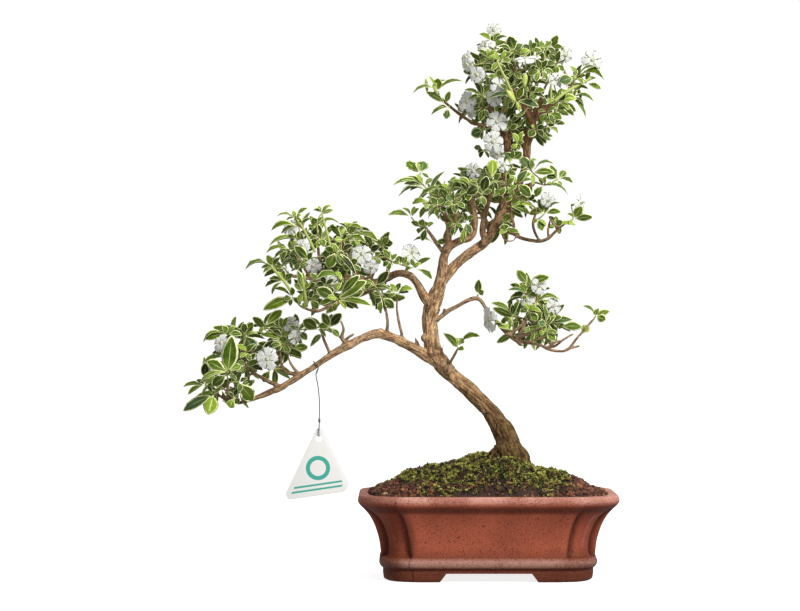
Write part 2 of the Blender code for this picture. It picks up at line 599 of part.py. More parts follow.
def make_moss(name, middle_x, middle_y, half_length, half_depth, soil):
    """A flat cushion that follows the mound, 20 points round, thin at its edge."""
    around = 20
    ground = BVHTree.FromObject(soil, bpy.context.evaluated_depsgraph_get())
    bm = bmesh.new()

    def pair(x, y, edge):
        """Lower and upper point of the cushion over a place of the mound."""
        under = ground.ray_cast(Vector((x, y, 2 * RIM_Z)), Vector((0, 0, -1)))[0].z
        low = under + (4.4 if edge else 5.4) * GAP
        high = low + 0.6 * MM if edge else under + MOSS_THICKNESS
        return bm.verts.new((x, y, low)), bm.verts.new((x, y, high))

    tops = []
    bottoms = []
    for share in (1.0, 0.72, 0.4):
        ring = []
        for k in range(around):
            angle = 2 * math.pi * k / around
            wobble = 1 + 0.05 * math.sin(3 * angle + middle_x) + 0.03 * math.cos(5 * angle + middle_y)
            x = (middle_x + half_length * share * wobble * math.cos(angle)) * MM
            y = (middle_y + half_depth * share * wobble * math.sin(angle)) * MM
            ring.append(pair(x, y, share == 1.0))
        bottoms.append([low for low, _ in ring])
        tops.append([high for _, high in ring])
    rings = list(reversed(bottoms)) + tops
    for lower, upper in zip(rings, rings[1:]):
        join_rings(bm, lower, upper)
    for ring, peak in zip((rings[0], rings[-1]), pair(middle_x * MM, middle_y * MM, False)):
        for k in range(around):
            bm.faces.new((ring[k], ring[(k + 1) % around], peak))
    return finish_object(name, bm, "moss", 60)


# ---------------------------------------------------------------- wood
def make_wood():
    whole = None
    for name, (sides, _) in WOOD.items():
        points, radii = wood_route(name)
        piece = finish_object(name, tube(points, radii, sides), "bark")
        if whole is None:
            whole = piece
            whole.name = "trunk_and_branches"
        else:
            combine(whole, piece, "UNION")
    whole.data.shade_smooth()
    whole.data.set_sharp_from_angle(angle=math.radians(50))
    return whole


# ---------------------------------------------------------------- sprays of leaves, flowers and buds
class Space:
    """What is already placed, to keep each new leaf clear of it."""

    def __init__(self):
        self.trees = []

    def add(self, vertices, faces):
        lows = [min(v[i] for v in vertices) for i in range(3)]
        highs = [max(v[i] for v in vertices) for i in range(3)]
        self.trees.append((lows, highs, BVHTree.FromPolygons(vertices, faces)))

    def add_object(self, made):
        mesh = made.data
        self.add([v.co.copy() for v in mesh.vertices], [tuple(p.vertices) for p in mesh.polygons])

    def add_bmesh(self, bm):
        bm.verts.index_update()
        self.add([v.co.copy() for v in bm.verts], [tuple(v.index for v in f.verts) for f in bm.faces])

    def hit(self, vertices, faces):
        lows = [min(v[i] for v in vertices) for i in range(3)]
        highs = [max(v[i] for v in vertices) for i in range(3)]
        tree = None
        for low, high, other in self.trees:
            if any(lows[i] > high[i] or highs[i] < low[i] for i in range(3)):
                continue
            if tree is None:
                tree = BVHTree.FromPolygons(vertices, faces)
            if tree.overlap(other):
                return True
        return False


BAR_FACES = [(0, 1, 5, 4), (1, 2, 6, 5), (2, 3, 7, 6), (3, 0, 4, 7)]


def leaf_sections(start, out, up, length, width, thickness, droop, turned=False, margin=0.0):
    """Rings of a leaf that grows from start towards out, its face towards up, arching down."""
    across = out.cross(up).normalized() * (-1 if turned else 1)
    sections = []
    for share, breadth in ((0.42, 1.0), (0.75, 0.8)):
        middle = start + out * (length * share) - Vector((0, 0, droop * length * share * share))
        half_w = width * breadth / 2 + margin
        half_t = thickness / 2 + margin
        sections.append([middle - across * half_w - up * half_t, middle + across * half_w - up * half_t,
                         middle + across * half_w + up * half_t, middle - across * half_w + up * half_t])
    tip = start + out * (length + margin) - Vector((0, 0, droop * length))
    return sections, tip


def leaf_solid(start_ring, sections, tip):
    """Vertices and faces of the leaf on its own, for testing what it touches."""
    vertices = list(start_ring)
    for section in sections:
        vertices += section
    vertices.append(tip)
    faces = []
    for level in range(len(sections)):
        base = 4 * level
        faces += [tuple(base + k for k in face) for face in BAR_FACES]
    last = 4 * len(sections)
    faces += [(last + k, last + (k + 1) % 4, len(vertices) - 1) for k in range(4)]
    return vertices, faces


def grow_leaf(bm, face_verts, sections, tip):
    """Adds the leaf to the twig, in place of the twig face whose corners are given."""
    ring = list(face_verts)
    for section in sections:
        following = [bm.verts.new(point) for point in section]
        join_rings(bm, ring, following)
        ring = following
    point = bm.verts.new(tip)
    for k in range(4):
        bm.faces.new((ring[k], ring[(k + 1) % 4], point))


def make_flower(name, start, way, space):
    """Trumpet with five lobes on a thin tube."""
    side = way.orthogonal().normalized()
    across = way.cross(side)
    bm = bmesh.new()
    rings = []
    for height, radius in ((0.0, 0.8), (0.6, 1.0), (0.9, 1.9), (1.05, 2.2)):
        ring = []
        for k in range(FLOWER_LOBES):
            angle = 2 * math.pi * k / FLOWER_LOBES
            spoke = side * math.cos(angle) + across * math.sin(angle)
            ring.append(bm.verts.new(start + way * (height * FLOWER_TUBE_LENGTH)
                                     + spoke * (radius * FLOWER_TUBE_RADIUS)))
        rings.append(ring)
    join_rings(bm, rings[0], rings[1])
    join_rings(bm, rings[1], rings[2])
    bm.faces.new(reversed(rings[0]))
    bm.faces.new(rings[3])
    for k in range(FLOWER_LOBES):
        after = (k + 1) % FLOWER_LOBES
        angle = 2 * math.pi * (k + 0.5) / FLOWER_LOBES
        spoke = side * math.cos(angle) + across * math.sin(angle)
        out = (spoke + way * 0.25).normalized()
        up = (way - out * way.dot(out)).normalized()
        middle = (rings[2][k].co + rings[2][after].co + rings[3][k].co + rings[3][after].co) / 4
        turned = out.cross(up).dot(rings[2][after].co - rings[2][k].co) < 0
        sections, tip = leaf_sections(middle, out, up, FLOWER_LOBE_LENGTH, FLOWER_LOBE_WIDTH,
                                      LEAF_THICKNESS, 0.0, turned)
        grow_leaf(bm, (rings[2][k], rings[2][after], rings[3][after], rings[3][k]), sections[:1], tip)
    space.add_bmesh(bm)
    return finish_object(name, bm, "petal")


def make_bud(name, start, way, space):
    """A pointed bud on the end of a twig."""
    heights = (0.0, 2.0 * MM, 5.5 * MM, 9.0 * MM)
    radii = (0.7 * MM, 2.0 * MM, 2.2 * MM, 0.6 * MM)
    bm = tube([start + way * height for height in heights], radii, 6)
    space.add_bmesh(bm)
    return finish_object(name, bm, "bud", 60)


class Spray:
    """Twig that goes on from the end of a branch, with opposite leaves, one pair to a node."""

    def __init__(self, name, branch, column, row, depth, pairs, ending):
        self.name = name
        self.pairs = pairs
        self.ending = ending
        points, _ = wood_route(branch)
        self.leaving = (points[-1] - points[-2]).normalized()
        self.start = points[-1] + self.leaving * GAP * 1.2
        self.target = place(column, row, depth)
        self.bm = bmesh.new()
        self.rings = []
        self.nodes = []
        self.grown = {}

    def square(self, middle, side, across):
        corners = ((-1, -1), (1, -1), (1, 1), (-1, 1))
        return [self.bm.verts.new(middle + (side * a + across * b) * TWIG_RADIUS) for a, b in corners]

    def lay_twig(self, space):
        length = (self.target - self.start).length
        steps = 2 * self.pairs + 1
        route = [self.start, self.start + self.leaving * (length / steps)]
        for k in range(2, steps + 1):
            share = k / steps
            straight = self.start.lerp(self.target, share)
            carried = self.start + self.leaving * (length * share)
            route.append(straight.lerp(carried, 0.35 * (1 - share)))
        cross = frames(route)
        self.rings.append(self.square(self.start, *cross[0]))
        for k in range(1, self.pairs + 1):
            way = (route[2 * k] - route[2 * k - 1]).normalized()
            side, across = cross[2 * k]
            for shift in (-0.5, 0.5):
                self.rings.append(self.square(route[2 * k] + way * (NODE_LENGTH * shift), side, across))
            self.nodes.append((way, side, across))
        vertices = [v.co.copy() for ring in self.rings for v in ring]
        faces = []
        for level in range(len(self.rings) - 1):
            faces += [tuple(4 * level + k for k in face) for face in BAR_FACES]
        space.add(vertices, faces)

    def end(self):
        """Middle of the twig's last cut, and the way it points."""
        last = self.rings[-1]
        return (last[0].co + last[2].co) / 2, self.nodes[-1][0]

    def grow_leaves(self, space, rng):
        for k, (way, side, across) in enumerate(self.nodes):
            outwards = {0: -across, 1: side, 2: across, 3: -side}
            for face in (0, 2) if k % 2 else (1, 3):
                self.try_leaf(2 * k + 1, face, way, outwards[face], space, rng)

    def try_leaf(self, level, face, way, outward, space, rng):
        """Grows one leaf from a face of a node, turned until it touches nothing, or leaves it out."""
        after = (face + 1) % 4
        lower, upper = self.rings[level], self.rings[level + 1]
        corners = (lower[face], lower[after], upper[after], upper[face])
        centre = sum((v.co for v in corners), Vector()) / 4
        beside = way.cross(outward)
        root = [centre + (v.co - centre) * 0.5 + outward * 1.1 * MM for v in corners]
        for trial in range(LEAF_TRIALS):
            scale = rng.uniform(0.75, 1.15) * (1.0 - 0.03 * trial)
            out = (outward + way * rng.uniform(0.15, 0.75) + beside * rng.uniform(-0.35, 0.35)).normalized()
            up = (way - out * way.dot(out)).normalized()
            size = (LEAF_LENGTH * scale, LEAF_WIDTH * scale, LEAF_THICKNESS, rng.uniform(0.0, 0.35))
            turned = out.cross(up).dot(corners[1].co - corners[0].co) < 0
            fat = leaf_sections(centre, out, up, *size, turned, margin=GAP)
            vertices, faces = leaf_solid(root, *fat)
            if not space.hit(vertices, faces):
                space.add(vertices, faces)
                self.grown[level, face] = (corners, *leaf_sections(centre, out, up, *size, turned))
                return

    def finish(self):
        bm, rings = self.bm, self.rings
        for level in range(len(rings) - 1):
            skipped = [face for face in range(4) if (level, face) in self.grown]
            join_rings(bm, rings[level], rings[level + 1], skipped)
        bm.faces.new(reversed(rings[0]))
        for grown in self.grown.values():
            grow_leaf(bm, *grown)
        if self.ending == "leaf":
            end, way = self.end()
            _, side, across = self.nodes[-1]
            bulge = [end + way * 3 * MM + side * (1.5 * a * MM) + across * (0.6 * b * MM)
                     for a, b in ((-1, -1), (1, -1), (1, 1), (-1, 1))]
            grow_leaf(bm, rings[-1], [bulge], end + way * 9 * MM)
        else:
            bm.faces.new(rings[-1])
        return finish_object(self.name, bm, "leaf")


# ---------------------------------------------------------------- label and thread
def make_tag():
    bm = bmesh.new()
    levels = []
    for shift in (-0.5, 0.5):
        level = []
        for column, row in TAG_CORNERS:
            corner = place(column, row, TAG_DEPTH)
            level.append(bm.verts.new(corner + Vector((0, shift * TAG_THICKNESS, 0))))
        levels.append(level)
    join_rings(bm, levels[0], levels[1])
    bm.faces.new(levels[0])
    bm.faces.new(reversed(levels[1]))
    tag = finish_object("label_tag", bm, "tag_plastic")
    hole = place(*TAG_HOLE, TAG_DEPTH)
    ends = [hole + Vector((0, shift, 0)) for shift in (-5 * MM, 5 * MM)]
    combine(tag, finish_object("hole", tube(ends, [TAG_HOLE_RADIUS] * 2, 16), "tag_plastic"), "DIFFERENCE")
    return tag


def smooth_route(points, spacing):
    """Even points on a smooth curve through the given ones."""
    fine = []
    last = len(points) - 1
    for i in range(last):
        before, start, end, after = (points[max(i - 1, 0)], points[i], points[i + 1],
                                     points[min(i + 2, last)])
        for step in range(12):
            t = step / 12
            fine.append(0.5 * (2 * start + (end - before) * t
                               + (2 * before - 5 * start + 4 * end - after) * t * t
                               + (3 * start - before - 3 * end + after) * t ** 3))
    fine.append(points[-1])
    even = [fine[0]]
    travelled = 0.0
    for a, b in zip(fine, fine[1:]):
        travelled += (b - a).length
        if travelled >= spacing:
            even.append(b)
            travelled = 0.0
    if (even[-1] - fine[-1]).length > spacing * 0.4:
        even.append(fine[-1])
    else:
        even[-1] = fine[-1]
    return even


def thread_route():
    """Over the branch, down to the knot, through the hole of the label and back up to the knot."""
    branch = place(*THREAD_ON_BRANCH)
    around = BRANCH_RADIUS_AT_THREAD * MM + GAP * 2 + THREAD_RADIUS
    knot = place(*THREAD_KNOT, TAG_DEPTH)
    hole = place(*TAG_HOLE, TAG_DEPTH)
    slope = (place(320, 362, -12) - place(310, 369, -13)).normalized()
    up = (Vector((0, 0, 1)) - slope * slope.z).normalized()
    beside = Vector((0, 1, 0))
    bend = 1.8 * MM
    low = hole + Vector((0, 0, TAG_HOLE_RADIUS - GAP - THREAD_RADIUS))
    meet = branch - Vector((0, 0, around + 4 * MM))
    points = [meet + beside * 1.3 * MM, branch - up * around * 0.9 + beside * around * 0.85]
    for degrees in (90, 45, 0, -45, -90):
        angle = math.radians(degrees)
        points.append(branch + up * (around * math.cos(angle)) + beside * (around * math.sin(angle)))
    points += [branch - up * around * 0.9 - beside * around * 0.75, meet - beside * 0.3 * MM]
    for share in (0.25, 0.5, 0.75):
        bow = Vector((1.2 * MM * math.sin(math.pi * share), 0, 0))
        points.append(meet.lerp(knot, share) + bow)
    points.append(knot)
    points.append(low + Vector((0, -bend, bend + 3.5 * MM)))
    points.append(low + Vector((0, -bend, bend)))
    for degrees in (45, 90, 135):
        angle = math.radians(degrees)
        points.append(low + Vector((0, -bend * math.cos(angle), bend - bend * math.sin(angle))))
    points.append(low + Vector((0, bend, bend)))
    points.append(low + Vector((0, bend, bend + 3.5 * MM)))
    points.append(knot + Vector((0, 1.3 * MM, -0.5 * MM)))
    return smooth_route(points, 2.1 * MM)


# ---------------------------------------------------------------- whole
def main():
    for old in list(bpy.data.objects):
        bpy.data.objects.remove(old)
    wood = make_wood()
    trunk_points, trunk_radii = wood_route("trunk")
    make_pot()
    for side, word in ((-1, "left"), (1, "right")):
        make_screen("drain_screen_" + word, POT_X + side * DRAIN_X)
        make_wire("screen_wire_" + word, staple_route(POT_X + side * DRAIN_X), WIRE_RADIUS, "wire_metal")
    soil = make_soil(trunk_points, trunk_radii)
    for moss in MOSS:
        make_moss(*moss, soil)
    tag = make_tag()
    route = thread_route()
    make_wire("tag_thread", route, THREAD_RADIUS, "thread")
    space = Space()
    space.add_object(wood)
    space.add_object(tag)
    space.add_bmesh(tube(route, [2 * THREAD_RADIUS] * len(route), 6))
    rng = random.Random(SEED)
    sprays = [Spray(*row) for row in SPRAYS]
    for spray in sprays:
        spray.lay_twig(space)
    ends = {"flower": make_flower, "bud": make_bud}
    for kind, make_end in ends.items():
        carriers = [spray for spray in sprays if spray.ending == kind]
        for number, spray in enumerate(carriers, 1):
            end, way = spray.end()
            make_end("%s_%d" % (kind, number), end + way * GAP, way, space)
    for spray in sprays:
        spray.grow_leaves(space, rng)
        spray.finish()


main()
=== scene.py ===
"""Serissa bonsai in a rectangular clay pot: the finished surfaces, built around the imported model.

Metres, +Z up, +X to the right of the pot's front face.
"""

import json
import math
import random

import bmesh
import bpy
import numpy as np
from bpy.props import FloatProperty, FloatVectorProperty, IntProperty, PointerProperty
from mathutils import Matrix, Vector, noise
from mathutils.kdtree import KDTree

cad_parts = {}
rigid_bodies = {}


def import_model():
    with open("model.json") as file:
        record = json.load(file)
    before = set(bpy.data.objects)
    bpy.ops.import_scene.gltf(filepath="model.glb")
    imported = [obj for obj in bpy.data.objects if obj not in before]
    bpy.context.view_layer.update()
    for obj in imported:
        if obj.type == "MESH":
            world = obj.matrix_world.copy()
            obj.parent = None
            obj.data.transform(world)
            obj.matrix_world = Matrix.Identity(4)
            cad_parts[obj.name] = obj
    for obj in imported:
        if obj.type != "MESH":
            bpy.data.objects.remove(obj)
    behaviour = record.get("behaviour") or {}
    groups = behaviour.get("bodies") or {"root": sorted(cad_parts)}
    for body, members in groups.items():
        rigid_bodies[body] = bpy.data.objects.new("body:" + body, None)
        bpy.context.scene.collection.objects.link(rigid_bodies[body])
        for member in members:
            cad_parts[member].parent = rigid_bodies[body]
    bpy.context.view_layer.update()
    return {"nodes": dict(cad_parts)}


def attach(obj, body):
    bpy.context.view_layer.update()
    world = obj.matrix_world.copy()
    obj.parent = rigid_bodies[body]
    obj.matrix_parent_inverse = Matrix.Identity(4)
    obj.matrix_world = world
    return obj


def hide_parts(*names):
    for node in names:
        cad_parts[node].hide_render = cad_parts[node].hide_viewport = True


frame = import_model()

bl_info = {
    "name": "Serissa bonsai",
    "version": (1, 0, 0),
    "blender": (4, 5, 0),
    "location": "3D View > Sidebar > Bonsai",
    "description": "Builds a leaning serissa bonsai with its pot, moss and label",
    "category": "Add Mesh",
}

MM = 0.001
ROOT = "root"

# ---------------------------------------------------------------- elevation drawing
# The front elevation is drawn on squared paper, one square to 0.8 mm on the plane of the trunk.
# Columns run right and rows run down. It is drawn in perspective from EYE_DISTANCE in front of
# the trunk and EYE_HEIGHT above the ground, where column MIDDLE meets row HORIZON.
SQUARE = 0.8 * MM
MIDDLE = 400.0
HORIZON = 305.5
EYE_HEIGHT = 217.0 * MM
EYE_DISTANCE = 2100.0 * MM
PAPER_WIDTH = 800.0


def place(column, row, depth):
    """A point of the elevation drawing, depth in mm, as a place in the model."""
    spread = SQUARE * (EYE_DISTANCE + depth * MM) / EYE_DISTANCE
    return Vector(((column - MIDDLE) * spread, depth * MM, EYE_HEIGHT + (HORIZON - row) * spread))


def rows_of(text):
    """Rows of numbers, parted by commas."""
    return [tuple(map(float, row.split())) for row in text.split(",")]


def rosettes_of(text):
    """Rosettes as (column, row, depth, leaves), and each leaf as (column, row, width, roll, age)."""
    rosettes = []
    for rosette in text.split(";"):
        centre, leaves = rosette.split(":")
        leaves = [leaf.strip() for leaf in leaves.split(",")]
        rosettes.append((*rows_of(centre)[0], [(*rows_of(leaf[:-1])[0], leaf[-1]) for leaf in leaves]))
    return rosettes


# Trunk and branches: points "column row depth radius", with the depth behind the trunk's plane and
# the radius in mm. A branch starts inside the one that carries it.
BRANCHES = {
    "trunk": """520 484 0 6, 517 472 0 11, 513 459 0 12.8, 509 446 0.5 10.2, 504 432 1 8.3, 496 419 2 6.9,
        484.5 405 3 5.9, 471.5 393 3.5 5.8, 458 381 3 5.8, 446 370 2 6.2, 438 360 1 6.7, 433 348 0 6.4,
        431 335 -1 5.6, 430 320 -1 5.4, 431.5 308 -1 6, 435 298 0 5.8, 439 288 0 4.8, 441.5 277 0 4.2""",
    "left_stem": """440.5 282 0 3.6, 442.5 268 -2 3.6, 443.5 258 -4 3.4, 447 250 -6 3.3, 453 244 -7 3,
        461 240 -8 2.9, 469 238 -8 2.8, 474 230 -9 2.6, 475 218 -11 2.4, 473 206 -13 2.1, 470 196 -15 1.6""",
    "left_stem_rise": """446 252 -6 2.6, 448 240 -10 2.6, 449 230 -13 2.4, 447 220 -16 2.1, 442 210 -18 1.7,
        434 201 -21 1.3""",
    "left_stem_front": "449 232 -12.5 2, 454 222 -20 1.8, 457 212 -27 1.4",
    "left_stem_twig": "445 254 -5 1.6, 437 244 -8 1.5, 431 235 -10 1.3, 425 227 -12 1.1",
    "right_stem": """439.5 287 0 3.8, 449 272 3 3.9, 457 263 5 3.8, 466 255 6 3.8, 475 249 7 3.8,
        484 243 8 3.7, 490 235 8 3.5, 494 227 8 3.3, 499 218 8 3.2, 506 209 8 3.1, 513 201 8 3,
        522 192 9 2.6, 531 184 10 2""",
    "middle_stem": "485 242 8 2.4, 483 231 3 2.4, 484 219 0 2.2, 487 207 -2 1.9, 490 195 -5 1.5",
    "middle_back": "491 233 8 2.2, 486 222 16 1.9, 479 210 24 1.7, 474 200 30 1.4",
    "middle_back_right": "506 209 8 2, 513 207 17 1.6, 521 204 26 1.3",
    "crown_stem": """508 206 8 2.9, 516 192 6 2.9, 521 178 3 2.9, 525 166 0 2.9, 526.5 155 -1 3,
        526.5 145 -2 3.3, 529 136 -2 3.5, 532 127 -2 3.8, 531 118 -2 3.6, 526 110 -2 2.8, 520 101 -3 2,
        515 92 -4 1.5""",
    "crown_right": "532 121 -2 3, 541 113 2 2.8, 549 107 6 2.4, 557 101 9 2, 565 95 12 1.5",
    "crown_middle": "532 118 -2 2.6, 538 108 -8 2.1, 541 98 -13 1.5",
    "crown_back": "529 113 -2 2.2, 530 104 8 1.9, 530 94 18 1.4",
    "crown_low_right": "541 113 2 1.6, 549 114 -6 1.4, 556 116 -13 1.1",
    "second_stem": """504 211 8 2.5, 503 196 12 2.5, 504 180 13 2.5, 506 165 11 2.5, 507 150 8 2.7,
        507 140 7 2.9, 504 131 7 2.6, 498 122 9 2.2, 492 113 10 1.8, 486 104 11 1.4""",
    "second_front": "506 136 7 1.9, 504 126 -4 1.7, 502 117 -16 1.3",
    "crown_left_twig": """505 134 7 1.6, 495 130 6 1.5, 486 126.5 5 1.5, 475 123.5 4 1.4, 466 118.5 3 1.3,
        457 112 2 1.2, 448 105 2 1.1, 441 98 2 1""",
    "curling_branch": """494 226 8 1.8, 503 228 3 1.6, 512 233 -1 1.5, 521 238 -4 1.5, 531 240.5 -6 1.4,
        541 241 -8 1.3, 549 238 -10 1.2, 555 232 -12 1.1, 562 226 -14 1""",
    "curling_upright": "540 241 -8 1.1, 535 233 -13 1, 533 223 -17 1, 536 213 -20 0.9",
    "left_branch": """440 365 1 4.6, 428 357 -1 4.4, 418 350.5 -2 4, 406 343.5 -3 3.8, 395 338.5 -4 3.6,
        385 335 -5 3.8, 376 333.5 -6 3.5, 366 337 -7 3.1, 357 341 -8 3, 348 345 -9 3.1, 338 350.5 -10 2.8,
        330 355.5 -11 2.8, 320 362 -12 2.4, 310 369 -13 2.3, 300 375.5 -14 2.4, 290 382 -15 2.3,
        281 387.5 -16 2.4, 270 392 -17 2.1, 258 397 -18 1.9, 247 401 -19 1.6, 238 402.5 -20 1.5,
        231 400 -21 1.4""",
    "left_branch_end": "235 402 -20 1.2, 228 394 -22 1.1, 228 384 -24 1",
    "left_branch_far": "235 402 -20 1.2, 224 398 -17 1.1, 215 393 -15 0.9",
    "left_fork": """281 387 -16 1.6, 270 382 -14 1.5, 261 377 -12 1.4, 252 372 -10 1.3, 244 362 -9 1.2,
        243 351 -8 1""",
    "left_upper_twig": """304 373.5 -13.5 1.5, 292 373.5 -12 1.5, 284 370 -11 1.3, 281 360 -10 1.1,
        281 350 -9 0.9""",
    "left_inner_twig": "331 355 -11 1.2, 326 345 -14 1.1, 323 337 -16 1, 321 330 -18 0.9",
    "left_curly_stub": "349 345 -9 1.8, 342 338.5 -11 1.5, 343.5 329 -11 0.9, 341 321 -11 0.8",
    "left_upright_near": "404 342 -3 1.1, 399.5 325 -2 1, 397 310 -2 0.9, 397 297 -2 0.8",
    "left_upright_far": "387 335 -5 1.4, 387.5 322 -7 1.1, 386 311 -8 0.9, 384 303 -9 0.8",
    "upper_left": """436 306 -1 3.4, 427 301 -1 3.6, 422 292 0 3.3, 417 283 1 3, 411 276 2 2.9,
        403 273 4 2.8, 394 274.5 5 2.8, 386 279 6 2.6, 377 282 7 2.5, 367 281 8 2.3, 357 278 9 2.2,
        346 279 10 2, 335 282 10 1.9, 323 282 9 1.8, 312 279 8 1.6, 301 277 6 1.4, 291 276 4 1.1""",
    "upper_left_lower": """379 282 7 1.9, 368 291 1 1.7, 355 297 -3 1.5, 342 301 -7 1.4, 330 306 -10 1.3,
        318 311 -12 1.2, 306 309 -14 1""",
    "upper_left_front": "356 297 -3 1.4, 350 292 -14 1.3, 345 285 -24 1.1",
    "upper_left_rise": "325 282 9 1.6, 322 269 11 1.5, 319 256 12 1.4, 318 245 13 1.1",
    "upper_left_rise_near": "358 278 9 1.7, 353 266 6 1.5, 347 256 3 1.3, 343 246 0 1.1",
    "upper_left_back": "337 281.5 10 1.7, 332 273 22 1.5, 330 265 32 1.2",
    "upper_left_outer": "312 279 8 1.4, 303 266 4 1.3, 297 254 0 1.2, 294 244 -3 1",
    "upper_left_inner": "387 278.5 6 1.5, 388 268 3 1.3, 387 259 0 1.1",
    "upper_left_inner_back": "369 281 8 1.5, 374 271 17 1.3, 378 263 25 1.1",
    "right_branch": """433 323 -1 1.8, 441 317 -3 1.7, 447.5 311.5 -4 1.6, 456 307 -5 1.6, 466 301.5 -6 1.6,
        474 298.5 -7 1.7, 480 300 -8 1.4, 485 307 -9 1.4, 490 313.5 -10 1.3, 496 321 -12 1.3,
        502 328.5 -14 1.4, 509 335 -15 1.5, 517 341 -16 1.3, 528 343 -17 1.1, 540 345 -18 1.1,
        548 349 -19 1.2, 557 351 -20 1, 568 349.5 -20 1, 577 338 -19 0.9, 585 329 -18 0.8, 593 320 -17 0.8""",
    "right_fork_upper": "509 335.5 -15 1.2, 518 328 -11 1.1, 526 319 -8 1, 527 311 -7 0.9",
    "right_fork_middle": "516 340 -16 1.2, 525 335 -22 1.1, 535 331.5 -26 1, 544 327 -29 0.9",
    "right_dead_twig": "545 348 -18.5 1, 555 346 -14 0.9, 563 340 -11 0.8, 573 334 -8 0.8",
    "trunk_shoot": "447 367 -1 1.3, 451 361 -7 1.1, 455 354 -9 0.9, 457.5 349 -10 0.8",
}

# Soil mound: height of its crest along X, both in mm
CREST = [(-30, 67), (-12, 76), (4, 84.5), (24, 88), (38, 90), (48, 93), (58, 97), (66, 99.5),
         (76, 101), (90, 101), (100, 96), (108, 90), (116, 86), (132, 82), (144, 77), (158, 71),
         (170, 67)]

# Moss: name, middle X, middle Y, half length, half depth, in mm
MOSS = [
    ("moss_left", 34, 0, 36, 41),
    ("moss_right", 131, 2, 21, 36),
    ("moss_front", 91, -32, 25, 12),
]

# Label: corners of the plate and its hole on the squared paper, and where the thread runs
TAG_DEPTH = -12.4
TAG_CORNERS = [(285.3, 493.5), (288.5, 500.0), (345.0, 491.8), (349.5, 484.0), (322.5, 427.5),
               (316.5, 428.5)]
TAG_HOLE = (319.0, 438.8)
THREAD_ON_BRANCH = (316.0, 364.8, -12.4)
BRANCH_RADIUS_AT_THREAD = 2.45
THREAD_KNOT = (319.3, 420.5)

